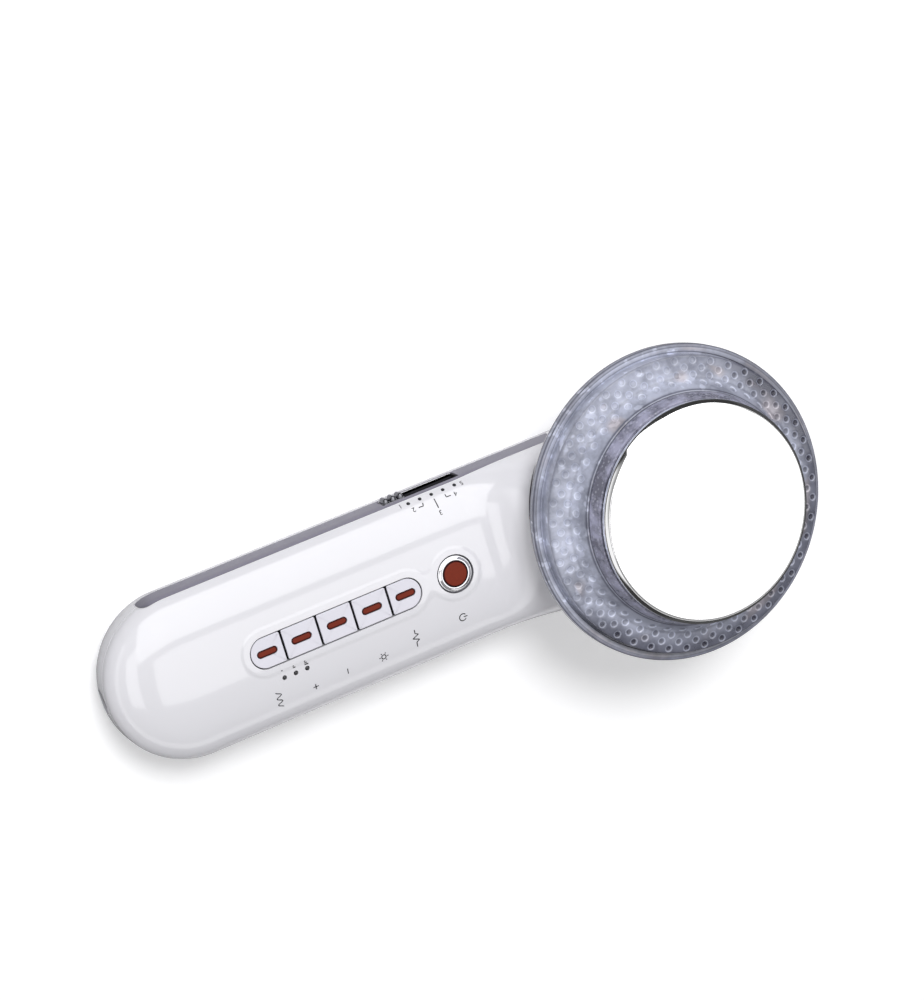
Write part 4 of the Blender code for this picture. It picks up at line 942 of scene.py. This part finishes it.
class DEVICE_OT_power(bpy.types.Operator):
    """Build the chrome power ring in its grey seat, and the red power button"""

    bl_idname = "facial_device.power"
    bl_label = "Power Button"

    def execute(self, context):
        _, keys, _, colours = device_settings(context)
        centre, foot = (POWER_X, 0, 0), low("power_bezel")[2]
        outer, bore = keys.bezel_radius - keys.bezel_seat, keys.bezel_bore
        step, rim = BORDER_TOP - keys.bezel_fall, keys.bezel_radius
        flat, lip, lip_foot, lip_drop = 0.0003, 0.0004, 0.00045, 0.0001
        corners = [(outer, foot), (outer, step), (outer - flat, step)]
        corners += [(bore + lip_foot, BORDER_TOP - lip_drop), (bore + lip, BORDER_TOP)]
        corners += [(bore, BORDER_TOP), (bore, foot)]
        path = rounded(corners, (0.00018, 0.0001, 0.00008, 0.00008, 0.00012))
        ring = turned("power_ring", np.vstack([[(bore, foot)], path]), centre)
        seat_drop = 0.00012
        seat_top = BORDER_TOP - seat_drop
        path = [(outer, foot), (rim, foot), (rim, seat_top), (outer, seat_top), (outer, foot)]
        seat = turned("power_ring_seat", even(path, 0.0006), centre)
        grey = satin_plastic("grey ring seat", (0.10, 0.10, 0.115), 0.6)
        grey.on(finished("power_ring_seat", seat, "handle", "black_plastic"))
        chrome = bright_metal("chrome ring", (0.80, 0.80, 0.83), 0.05)
        chrome.on(finished("power_ring", ring, "handle", "chrome", "power_bezel"))
        top, radius = high("power_button")[2], keys.power_radius
        depth, sunk, edge_drop, edge_in, crown_in = 0.002, 0.00008, 0.00025, 0.0005, 0.0006
        side = [(radius, top - depth), (radius, top - edge_drop), (radius - edge_in, top - sunk)]
        crown = [np.linspace(radius - crown_in, 0, 10), top - sunk * np.linspace(1, 0, 10) ** 2]
        profile = np.vstack([[(0, top - depth)], rounded(side, 0.0002), np.column_stack(crown)])
        edge = np.clip((profile[:, 0] / radius - 0.86) / 0.14, 0, 1)
        cap = turned("power_cap", profile, centre, 96, edge=edge)
        red = red_plastic("red button", colours)
        red.on(finished("power_cap", cap, "power_key", "red_plastic", "power_button"))
        return {"FINISHED"}


# The printed marks. Places are in millimetres: symbols from the device's middle, leader lines and
# numbers from the middle one of the five dots. The first dot is DOT_SHIFT along from the slider at
# rest, and all the dots are DOT_Y aside from the middle line.
INK_LIFT = 0.00003
INK_THICKNESS = 0.00002
STROKE = 0.00026
DIGIT_SIZE = 0.0019
BARS_ASIDE = 0.0017
DOT_Y = 0.02106
DOT_SHIFT = 0.00241
SYMBOL_PLACES = {
    "power": (-3.3, -12.5),
    "wave": (-57.9, -14.0),
    "plus": (-47.5, -14.6),
    "minus": (-38.0, -14.0),
    "lamp": (-27.4, -14.3),
    "pulse": (-17.5, -12.9),
}
LEADERS = (
    ((-4.9, -2.2), (-3.6, -2.3), (-3.3, -1.4)),
    ((0.0, -1.5), (0.0, -4.3)),
    ((3.3, -1.5), (3.3, -2.4), (4.6, -2.4)),
)
NUMBER_PLACES = ((-9.2, 0.2), (-6.4, -2.2), (0.0, -5.6), (6.0, -2.4), (8.9, -0.1))


def section_run(form):
    """Arc length from the face's middle out to its side, with the offset at each length."""
    across = form.half_width * np.sin(np.linspace(0, math.pi / 2, 600))
    return along(np.column_stack([across, crown_height(form, across)])), across


def on_face(form, keys, flat):
    """Flat points (x, distance from the face's middle line) laid on the face and lifted off it.

    The distance is measured along the section, so the offset comes from the section's arc length,
    and the lift is along the normal of the face, from its slope across.
    """
    x, run = flat[..., 0], flat[..., 1]
    length_to, offset = section_run(form)
    y = np.sign(run) * np.interp(np.abs(run), length_to, offset)
    z = face_height(form, keys, x, y)
    beside = 1e-6
    above, below = (face_height(form, keys, x, at) for at in (y + beside, y - beside))
    slope = (above - below) / (2 * beside)
    scale = INK_LIFT / np.sqrt(1 + slope**2)
    return np.stack([x, y - slope * scale, z + scale], axis=-1)


def stroke(path, width):
    """A line of even width along a flat path: its points moved to both sides along its normals."""
    ahead = np.gradient(path, axis=0)
    ahead /= np.linalg.norm(ahead, axis=1, keepdims=True)
    normal = np.column_stack([-ahead[:, 1], ahead[:, 0]])
    return np.stack([path - normal * width / 2, path + normal * width / 2], axis=1)


def disc(centre, radius):
    """A flat disc as a grid of two rings, the inner one at the centre."""
    rim = arc(centre, radius, 0, 360, 25)
    return np.stack([np.broadcast_to(centre, rim.shape), rim], axis=1)


def arc(centre, radius, start, end, steps=28):
    """Points on a circle between two angles in degrees."""
    angle = np.radians(np.linspace(start, end, steps))
    return np.column_stack([np.cos(angle), np.sin(angle)]) * radius + centre


def symbols(width):
    """Flat symbols about their centres, in millimetres, with up as +Y: strokes of one width."""

    def line(*points, step=0.1, wide=width):
        return stroke(even(points, step), wide)

    t = np.linspace(-1, 1, 60)
    across = line((-0.8, 0), (0.8, 0), step=0.2)
    rays = [np.array((math.cos(angle), math.sin(angle))) for angle in np.radians(np.arange(0, 360, 60) + 30)]
    zigzag = [(-2.6, 0), (-1.5, 0), (-1.0, 0.9), (-0.2, -0.9), (0.6, 0.9), (1.2, 0), (2.6, 0)]
    bars = [line((x, -0.5), (x, -0.1 + 0.7 * (x + 0.5)), wide=width * 1.2) for x in (-0.5, 0, 0.5)]
    return {
        "power": [stroke(arc((0, 0), 1.0, 125, 415), width), line((0, 0.25), (0, 1.35))],
        "wave": [stroke(np.column_stack([2.4 * t, 0.7 * np.sin(2.5 * math.pi * t)]), width)],
        "plus": [across, line((0, -0.8), (0, 0.8), step=0.2)],
        "minus": [across],
        "lamp": [stroke(arc((0, 0), 0.62, 0, 360), width)] + [line(ray * 0.95, ray * 1.35) for ray in rays],
        "pulse": [line(*zigzag)],
        "bars": bars,
    }


def digit(text):
    """A plain number as flat triangles about its centre."""
    curve = bpy.data.curves.new("digit", "FONT")
    curve.body, curve.size, curve.resolution_u = text, DIGIT_SIZE, 4
    curve.align_x = curve.align_y = "CENTER"
    holder = placed("digit", curve)
    mesh = evaluated(holder)
    bpy.data.objects.remove(holder)
    return mesh


class DEVICE_OT_marks(bpy.types.Operator):
    """Print the dots, leader lines, numbers and plain symbols, and set the level lights"""

    bl_idname = "facial_device.marks"
    bl_label = "Printed Marks"

    def execute(self, context):
        form, keys, _, colours = device_settings(context)
        length_to, offset = section_run(form)
        first = middle("mode_slider")[0] + DOT_SHIFT
        step = travel("mode_slide") / 4
        dots = [first + step * place for place in range(5)]
        start = np.array([dots[2], np.interp(DOT_Y, offset, length_to)])
        flats = [disc((x, start[1]), keys.dot_radius) for x in dots]
        flats += [stroke(even(start + np.array(path) * MM, 0.0002), STROKE) for path in LEADERS]
        signs = symbols(STROKE / MM)
        spots = [(np.array(place) * MM, signs[name]) for name, place in SYMBOL_PLACES.items()]
        spots += [(LIGHTS[n][:2] + (0, BARS_ASIDE), signs["bars"][: n + 1]) for n in range(3)]
        for (x, y), strips in spots:
            flats += [np.stack([x + strip[..., 1] * MM, y - strip[..., 0] * MM], axis=-1) for strip in strips]
        meshes = [surface("mark", on_face(form, keys, flat)) for flat in flats]
        for text, place in zip("12345", NUMBER_PLACES):
            mesh = digit(text)
            flat = start + np.array(place) * MM - corners_of(mesh)[:, :2]
            mesh.vertices.foreach_set("co", on_face(form, keys, flat).reshape(-1))
            meshes.append(mesh)
        marks = finished("printed_marks", joined("printed_marks", meshes), None, None)
        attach(marks, "handle")
        ink = marks.modifiers.new("ink", "SOLIDIFY")
        ink.thickness, ink.offset = INK_THICKNESS, 0
        satin_plastic("printed ink", colours.ink, 0.5, 5000).on(marks)
        lens = glossy_plastic("dark level light", colours.ink, 0.15, 0.5)
        radius, depth, dome, soft = keys.dot_radius, 0.002, 0.0001, 0.00015
        for place, (x, y, _) in enumerate(LIGHTS, 1):
            top = face_height(form, keys, x, y)
            path = rounded([(radius, top - depth), (radius, top), (0, top + dome)], soft)
            light = turned("level", np.vstack([[(0, top - depth)], path]), (x, y, 0), 28)
            name, node = f"level_window_{place}", f"level_light_{place}"
            lens.on(finished(name, light, "handle", "black_plastic", node))
        return {"FINISHED"}


# Along the cover's seen face: its corner's number and the share of the way to the next one, how pale
# it is painted there on its deep side and on its pale side, and how little shows through. The deep
# side's tones are painted shade and the pale side's painted light, and the dark and bright lines
# that they make along the face are painted shade and painted highlights.
COVER_TONES = (
    (0.0, 0.03, 0.05, 0.92), (0.3, 0.17, 0.22, 0.88), (0.55, 0.25, 0.32, 0.88), (0.8, 0.15, 0.20, 0.9),
    (0.95, 0.02, 0.03, 0.95), (1.12, 0.26, 0.36, 0.88), (1.32, 0.19, 0.27, 0.88), (1.4, 0.06, 0.10, 0.9),
    (1.5, 0.30, 0.54, 0.88), (1.85, 0.23, 0.42, 0.88), (2.0, 0.06, 0.18, 0.9), (3.5, 0.12, 0.50, 0.9),
    (4.0, 0.19, 0.60, 0.85), (4.5, 0.21, 0.60, 0.8), (4.9, 0.15, 0.54, 0.8), (5.0, 0.06, 0.28, 0.85),
    (5.1, 0.14, 0.52, 0.75), (5.35, 0.20, 0.64, 0.7), (5.6, 0.40, 0.70, 0.65), (5.9, 0.62, 0.80, 0.65),
    (6.0, 0.40, 0.56, 0.7), (6.12, 0.62, 0.80, 0.65), (6.5, 0.46, 0.66, 0.65), (6.8, 0.44, 0.62, 0.65),
    (6.93, 0.04, 0.06, 0.9), (7.0, 0.34, 0.44, 0.85), (7.1, 0.05, 0.07, 0.9), (7.3, 0.36, 0.50, 0.75),
    (7.7, 0.30, 0.40, 0.75), (8.0, 0.02, 0.03, 0.95),
)
PAINTED_LIGHT_SIDE = (-0.70, 0.71)  # the side of the head on which the cover is painted pale, as painted light
DIMPLE_PHASE = 0.25  # how far the first ring is turned, in dimples
DIMPLE_STEPS = 18  # points of the cover for each dimple of a ring


def cover_profile(head):
    """The cover's section: its seen face from the outer edge to the bore, its underside, the middle
    of each ring of dimples on the seen face, and the looks along that face."""
    bottom, wall = low("head_cover")[2], head.cover_wall
    rim, lip = bottom + head.lip_rise, HEAD_RADIUS - head.lip_width
    clearance, land, first_in, spacing = 0.0002, 0.0024, 0.001, 0.00024
    outer, foot = lip - head.groove, high("probe_collar")[1] + clearance
    bore = foot - land
    shelf = np.array((outer, rim + head.shelf_rise))
    corner = np.array((foot + head.cone_width, COVER_TOP - head.cone_rise))
    top = np.array((foot, COVER_TOP))
    corners = [(HEAD_RADIUS, bottom), (HEAD_RADIUS, rim), (lip, rim), (lip, rim - head.groove)]
    corners += [(outer, rim - head.groove), shelf, corner, top, (bore, COVER_TOP)]
    face = even(rounded(corners, (0.0005, 0.00015, 0.0001, 0.0001, 0.0005, 0.0008, 0.0003)), spacing)
    run = along(face)
    stops = np.array([run[np.argmin(np.linalg.norm(face - corner, axis=1))] for corner in corners])
    places, *values = np.array(COVER_TONES).T
    before = np.minimum(places.astype(int), len(stops) - 2)
    places = stops[before] + (places - before) * np.diff(stops)[before]
    looks = [np.interp(run, places, value) for value in values]
    under = [(bore, COVER_TOP), (bore, COVER_TOP - wall), top - (wall / 2, wall), corner - (wall / 2, wall)]
    under += [(outer - wall, shelf[1] - wall), (outer - wall, bottom), (HEAD_RADIUS, bottom)]
    slope = (corner - shelf) / np.linalg.norm(corner - shelf)
    first = shelf + slope * (first_in + head.dimple_margin / 2)
    reach = np.linalg.norm(corner - first) - head.dimple_margin
    rings = [first + slope * reach * share for share in np.linspace(0, 1, head.shelf_rings)]
    return face, under, rings + [corner + (top - corner) * head.cone_share], looks


class DEVICE_OT_head_cover(bpy.types.Operator):
    """Build the clear flared cover: its section turned about the head's axis, with each dimple a
    paraboloid sunk along the section's normal"""

    bl_idname = "facial_device.head_cover"
    bl_label = "Head Cover"

    def execute(self, context):
        _, _, head, colours = device_settings(context)
        face, under, rings, looks = cover_profile(head)
        profile = np.vstack([face, rounded(under, 0.0003, 4)[1:-1]])
        steps = head.dimples * DIMPLE_STEPS
        angle = np.linspace(0, math.tau, steps, endpoint=False)
        tangent = np.gradient(profile, axis=0)
        tangent /= np.linalg.norm(tangent, axis=1, keepdims=True)
        run, pitch = along(profile), math.tau / head.dimples
        sink = np.zeros((len(profile), steps))
        for place, ring in enumerate(rings):
            near = np.argmin(np.linalg.norm(face - ring, axis=1))
            turn = (angle / pitch - 0.5 * (place % 2) + DIMPLE_PHASE + 0.5) % 1 - 0.5
            far = np.hypot(run[:, None] - run[near], ring[0] * turn * pitch)
            sink = np.maximum(sink, np.clip(1 - (far / head.dimple_radius) ** 2, 0, 1))
        sink[len(face):] = 0
        depth = head.dimple_depth * sink
        radius = profile[:, :1] - tangent[:, 1:] * depth
        height = profile[:, 1:] + tangent[:, :1] * depth
        points = np.stack([HEAD_X + radius * np.cos(angle), radius * np.sin(angle), height], axis=-1)
        below = len(profile) - len(face)
        # deep and pale are the cover's painted shade and painted light tones along its face.
        deep, pale, solid = (np.append(look, np.full(below, look[0])) for look in looks)
        values = {"dimple": sink, "deep": deep, "pale": pale, "solid": solid}
        mesh = closed(surface("clear_cover", points, True, True, **values))
        cover = finished("clear_cover", mesh, "handle", "clear_lavender", "head_cover")
        clear_plastic(colours).on(cover)
        return {"FINISHED"}


def clear_plastic(colours):
    """Clear lavender plastic. Its tone runs from deep to pale along its section and round the head:
    painted shade on the deep side and painted light on the pale side. It has random clouds and
    flecks, painted glints, and for each dimple a painted highlight ring and a painted shade core. A
    few warm spots stand for the lamps. It lets less through where it is seen at a glance."""
    made = Finish("clear lavender cover", colours.cover, 0.08, coat_weight=0.5, coat_roughness=0.02, ior=1.5)
    dimple, deep = made.attribute("dimple"), made.attribute("deep")
    cloud = made.noise(110, 4.0, 0.62).smooth(0.34, 0.66)
    fleck = made.noise(480, 3.0, 0.6)
    faint = made.noise(70).smooth(0.42, 0.56)
    # Painted highlight round each dimple and painted shade in its middle.
    ring = dimple.smooth(0.02, 0.2) - dimple.smooth(0.3, 0.6)
    dimple_shade = dimple.smooth(0.45, 0.9)
    x, y, _ = made.axes()
    # Painted light: one side of the head is painted pale and the other dark, as painted shade.
    side = (((x - HEAD_X) * PAINTED_LIGHT_SIDE[0] + y * PAINTED_LIGHT_SIDE[1]) * (1 / HEAD_RADIUS)).smooth(0.0, 0.5)
    tone = deep + (made.attribute("pale") - deep) * side
    tone = tone * ((cloud - 0.5) * 0.36 + (fleck - 0.5) * 0.3 + 1.06)
    crisp = 1 - side * (1 - faint * 0.4)
    # Painted glints: small pale spots on the pale side.
    painted_glint = made.noise(300).smooth(0.58, 0.69) * side * deep.smooth(0.1, 0.16) * 0.42
    tone = tone + painted_glint + ring * crisp * 0.24 - dimple_shade * ((1 - side) * 0.22 - side * faint * 0.22)
    glow = made.noise(95, 1.0).smooth(0.56, 0.68) * deep.smooth(0.16, 0.3) * 0.4
    lit = made.mix(glow, colours.cover_pale, shade(colours.lamp, 0.98))
    made.set("Base Color", made.mix(tone.clipped(), colours.cover_dark, lit))
    facing = made.node("ShaderNodeLayerWeight", None, {"Blend": 0.3}, output="Facing")
    solid = made.attribute("solid") + facing * 0.35 + ring * 0.2 + (cloud - 0.5) * 0.24
    made.set("Alpha", solid.clipped())
    return made.bump(made.noise(300), 0.00005, 0.3)


class DEVICE_OT_light_ring(bpy.types.Operator):
    """Finish the light ring's board and its lamps, and build round them a dark ring of painted shade that
    stands for the shaded inside of the bowl
    """

    bl_idname = "facial_device.light_ring"
    bl_label = "Light Ring"

    def execute(self, context):
        form, _, head, colours = device_settings(context)
        nodes = frame["nodes"]
        board = Finish("pale light board", colours.light_board, 0.55)
        mottle = (board.noise(220, 4.0, 0.65) * 1.3 - 0.15).clipped()
        board.set("Base Color", board.tones(mottle, colours.light_board, 0.38, 1.25))
        board.set("Roughness", board.cells(330).smooth(0.1, 0.5) * 0.3 + 0.3)
        board.on(nodes["led_board"])
        lamp = Finish("lamp resin", colours.lamp, 0.15, coat_weight=0.8)
        lamp.set("Base Color", lamp.tones(lamp.noise(400, 1.0).smooth(0.35, 0.65), colours.lamp, 1.0, 0.8))
        lamp.on(*[nodes[f"led_{place:02d}"] for place in range(1, 13)])
        edge, top = high("led_board")[1] + 0.0002, high("led_board")[2]
        lip, thick, slope = low("head_cover")[2] - LOOSE, 0.0003, 0.0016
        outer = HEAD_RADIUS - (head.bowl_inset + form.wall + LOOSE)
        path = [(edge, top - 2 * thick), (outer - slope, top - 2 * thick), (outer, lip), (outer - thick, lip)]
        path += [(outer - slope - thick, top - thick), (edge, top - thick), (edge, top - 2 * thick)]
        well = turned("light_well", even(path, 0.0004), (HEAD_X, 0, 0), 160)
        # Painted shade: the ring is dark to stand for the shade inside the bowl beyond the board.
        shaded = satin_plastic("dark light well", colours.well, 0.5, 900)
        shaded.on(finished("light_well", well, "handle", "frosted_lavender"))
        return {"FINISHED"}


class DEVICE_OT_probe(bpy.types.Operator):
    """Build the frosted collar and the polished steel probe, and finish the gasket"""

    bl_idname = "facial_device.probe"
    bl_label = "Probe"

    def execute(self, context):
        colours, centre = context.scene.device_colours, (HEAD_X, 0, 0)
        bottom, foot, top = low("probe_collar")[2], *high("probe_collar")[1:]
        width, lean = 0.0034, 0.001
        bore = foot - width
        path = [(bore, bottom), (foot, bottom), (foot - lean, top), (bore, top), (bore, bottom)]
        collar = turned("frosted_collar", even(rounded(path, 0.00025), 0.0002), centre, 256)
        collar = finished("frosted_collar", collar, "handle", "frosted_lavender", "probe_collar")
        frosted(colours.collar).on(collar)
        rubber = satin_plastic("black gasket", (0.018, 0.018, 0.022), 0.55, 1800)
        rubber.on(frame["nodes"]["probe_gasket"])
        radius, top = high("probe_plate")[1:]
        bottom, spigot, shoulder = low("probe_plate")[2], bore - LOOSE, high("probe_gasket")[2] + LOOSE
        slope, wall = 0.0011, 0.0012
        path = [(0, top), (radius - slope, top), (radius, top - slope), (radius, shoulder)]
        path += [(spigot, shoulder), (spigot, bottom), (spigot - wall, bottom)]
        path += [(spigot - wall, top - wall), (0, top - wall)]
        path = rounded(path, (0.0004, 0.0003, 0.0003, 0.0001, 0.0002, 0.0002, 0.0005), 9)
        plate = turned("steel_probe", path, centre, 256)
        steel = Finish("polished steel", (0.93, 0.93, 0.94), 0.06, metallic=1.0)
        x, y, _ = steel.axes()
        across = x - HEAD_X
        turns = steel.node("ShaderNodeCombineXYZ", None, {0: (across * across + y * y).root() * 2600})
        haze = steel.noise(26, 3.0)
        steel.set("Roughness", steel.noise(1.0, 2.0, 0.6, turns) * 0.03 + haze * 0.05 + 0.02)
        steel.set("Base Color", steel.mix(haze, (0.91, 0.91, 0.92), (0.95, 0.95, 0.955)))
        steel.on(finished("steel_probe", plate, "handle", "polished_steel", "probe_plate"))
        return {"FINISHED"}


def frosted(base):
    """Frosted plastic: dark mottle, fine pale dots and a dull face."""
    made = Finish("frosted collar", base, 0.4, coat_weight=0.2, ior=1.5)
    cloud = made.noise(170, 5.0, 0.7).smooth(0.36, 0.64)
    dots = 1 - made.cells(900).smooth(0.12, 0.42)
    made.set("Base Color", made.mix(dots * 0.4, made.tones(cloud, base, 0.75, 2.1), (0.62, 0.63, 0.74)))
    made.set("Roughness", cloud * 0.3 + 0.25)
    return made.bump(made.noise(2200), 0.00006, 0.6)


class DEVICE_OT_fittings(bpy.types.Operator):
    """Finish the power socket, the case screws and the pieces inside the handle"""

    bl_idname = "facial_device.fittings"
    bl_label = "Fittings"

    def execute(self, context):
        nodes, base = frame["nodes"], context.scene.device_colours.board
        screws = [nodes[f"case_screw_{place}"] for place in (1, 2, 3, 4)]
        bright_metal("zinc-plated steel", (0.62, 0.62, 0.64), 0.25).on(*screws, nodes["slide_switch"])
        switches = [nodes[f"key_switch_{place}"] for place in range(1, KEY_COUNT + 1)]
        black = satin_plastic("black moulding", (0.02, 0.02, 0.024), 0.42)
        black.on(nodes["power_socket"], nodes["power_switch"], nodes["light_lead"], *switches)
        satin_plastic("red lead", (0.42, 0.02, 0.015), 0.4).on(nodes["transducer_lead"])
        board = Finish("circuit board", base, 0.35)
        wave = {"wave_profile": "SAW"}
        tracks = board.node("ShaderNodeTexWave", wave, {"Scale": 160, "Distortion": 6.0})
        board.set("Base Color", board.tones(tracks > 0.82, base, 1.0, 2.4))
        board.set("Roughness", board.noise(500) * 0.2 + 0.25)
        board.on(nodes["main_board"])
        ceramic = Finish("ceramic", (0.62, 0.58, 0.50), 0.6)
        fleck = ceramic.noise(1200, 3.0)
        ceramic.set("Base Color", ceramic.mix(fleck, (0.55, 0.51, 0.44), (0.68, 0.64, 0.56)))
        ceramic.set("Roughness", fleck * 0.2 + 0.5)
        ceramic.on(nodes["transducer"], nodes["drive_coil"])
        return {"FINISHED"}


CAMERA_PLACE = (-0.259594, 0.240529, 0.763782)
CAMERA_TURN = (-9.352, -23.4309, -17.5049)
CAMERA_LENS = 111.478
MAIN_LIGHT = (-0.04, 0.46, 0.88)  # the way to the main light
FLOOR_DROP = 0.0001  # how far the floor lies under the device


class DEVICE_OT_studio(bpy.types.Operator):
    """Set the camera, the floor, the world and the lamps"""

    bl_idname = "facial_device.studio"
    bl_label = "Studio"

    def execute(self, context):
        scene, setup = context.scene, context.scene.studio_setup
        camera = bpy.data.cameras.new("camera")
        camera.lens = CAMERA_LENS
        camera.clip_start, camera.clip_end = 0.05, 50
        scene.camera = placed("camera", camera)
        scene.camera.location = CAMERA_PLACE
        scene.camera.rotation_euler = [math.radians(angle) for angle in CAMERA_TURN]
        studio_floor(setup)
        scene.world = studio_world(setup)
        lamp = bpy.data.lights.new("main light", "SUN")
        lamp.energy, lamp.angle = setup.sun, setup.sun_width
        held = placed("main light", lamp)
        held.rotation_euler = Vector(MAIN_LIGHT).to_track_quat("Z", "Y").to_euler()
        held.visible_glossy = False
        softbox("overhead softbox", (-0.34, 2.4), (-0.88, 2.0), (0.10, 2.0), setup.near_box)
        softbox("back softbox", (-0.9, 2.2), (0.30, 2.0), (2.10, 0.9), setup.far_box)
        softbox("side softbox", (-0.98, -0.52), (-0.45, 1.0), (0.5, 1.0), setup.near_box)
        scene.view_settings.view_transform = "Standard"
        return {"FINISHED"}


def studio_floor(setup):
    """A white floor that keeps the shadow: plain diffuse, with some light added for seen rays, and
    dark to gloss away from the device."""
    half = setup.floor_size / 2
    points = np.array([[(-half, -half, 0), (-half, half, 0)], [(half, -half, 0), (half, half, 0)]])
    mesh = closed(surface("floor", points - (0, 0, FLOOR_DROP)))
    if mesh.polygons[0].normal.z < 0:
        mesh.flip_normals()
    floor = finished("floor", mesh, None, None)
    made = Finish("studio floor", (0.80, 0.80, 0.81), 0.9, specular_ior_level=0.0)
    seen, gloss = made.rays()
    glow = made.node("ShaderNodeEmission", None, {"Color": (1, 1, 1), "Strength": setup.floor_lift})
    dark = made.node("ShaderNodeEmission", None, {"Strength": 0.0})
    lit = made.node("ShaderNodeMixShader", None, {0: seen, 1: dark, 2: glow})
    diffuse = Socket(made, made.shader.outputs[0])
    both = made.node("ShaderNodeAddShader", None, {0: diffuse, 1: lit})
    x, y, _ = made.axes()
    away = (x * x + y * y).root().smooth(setup.floor_fade * 0.4, setup.floor_fade)
    table = made.node("ShaderNodeMixShader", None, {0: gloss * away * 0.9, 1: both, 2: dark})
    made.put(made.tree.nodes["Material Output"].inputs["Surface"], table)
    made.on(floor)


def studio_world(setup):
    """White behind the device, an even light on plain surfaces, and for gloss a dark room under a
    plain ceiling, with a low strip of light all round but on the slider's side."""
    world = bpy.data.worlds.new("studio")
    world.use_nodes = True
    made = Nodes(world.node_tree)
    background = made.tree.nodes["Background"].inputs
    seen, gloss = made.rays()
    _, y, z = made.axes(made.node("ShaderNodeTexCoord", output="Generated"))
    ceiling = z.smooth(0.42, 0.50)
    strip = z.smooth(0.24, 0.30) * (1 - ceiling) * (1 - y.smooth(0.6, 0.75))
    room = strip * 0.96 + ceiling * setup.gloss + 0.04
    made.put(background["Color"], (1.0, 1.0, 1.0))
    made.put(background["Strength"], seen + gloss * room + (1 - seen - gloss) * setup.ambient)
    return world


def softbox(name, sides, near, far, brightness):
    """A rectangular lamp for gloss alone, from its two sides in x and its two edges in (y, z).

    A lamp's brightness is its power over pi times its area.
    """
    near, far = Vector((0, *near)), Vector((0, *far))
    across, upward = Vector((1, 0, 0)), (far - near).normalized()
    lamp = bpy.data.lights.new(name, "AREA")
    lamp.shape = "RECTANGLE"
    lamp.size, lamp.size_y = sides[1] - sides[0], (far - near).length
    lamp.energy = brightness * math.pi * lamp.size * lamp.size_y
    held = placed(name, lamp)
    held.location = Vector((sum(sides) / 2, 0, 0)) + (near + far) / 2
    held.rotation_euler = Matrix((across, upward, across.cross(upward))).transposed().to_euler()
    held.visible_diffuse = False


class DEVICE_PT_panel(bpy.types.Panel):
    """Lists the device's pieces in the order they are built"""

    bl_label = "Facial Device"
    bl_idname = "DEVICE_PT_panel"
    bl_space_type = "VIEW_3D"
    bl_region_type = "UI"
    bl_category = "Facial Device"

    def draw(self, context):
        for operator in OPERATORS:
            self.layout.operator(operator.bl_idname)


GROUPS = {
    "handle_form": HandleForm,
    "key_form": KeyForm,
    "head_form": HeadForm,
    "device_colours": DeviceColours,
    "studio_setup": StudioSetup,
}
OPERATORS = (
    DEVICE_OT_studio,
    DEVICE_OT_front_shell,
    DEVICE_OT_back_shell,
    DEVICE_OT_side_bands,
    DEVICE_OT_mode_slider,
    DEVICE_OT_keys,
    DEVICE_OT_power,
    DEVICE_OT_marks,
    DEVICE_OT_head_cover,
    DEVICE_OT_light_ring,
    DEVICE_OT_probe,
    DEVICE_OT_fittings,
)


def register():
    for item in (*GROUPS.values(), *OPERATORS, DEVICE_PT_panel):
        bpy.utils.register_class(item)
    for name, group in GROUPS.items():
        setattr(bpy.types.Scene, name, PointerProperty(type=group))


def unregister():
    for name in GROUPS:
        delattr(bpy.types.Scene, name)
    for item in (DEVICE_PT_panel, *reversed(OPERATORS), *reversed(list(GROUPS.values()))):
        bpy.utils.unregister_class(item)


def main():
    register()
    for operator in OPERATORS:
        area, name = operator.bl_idname.split(".")
        getattr(getattr(bpy.ops, area), name)()


if __name__ == "__main__":
    main()
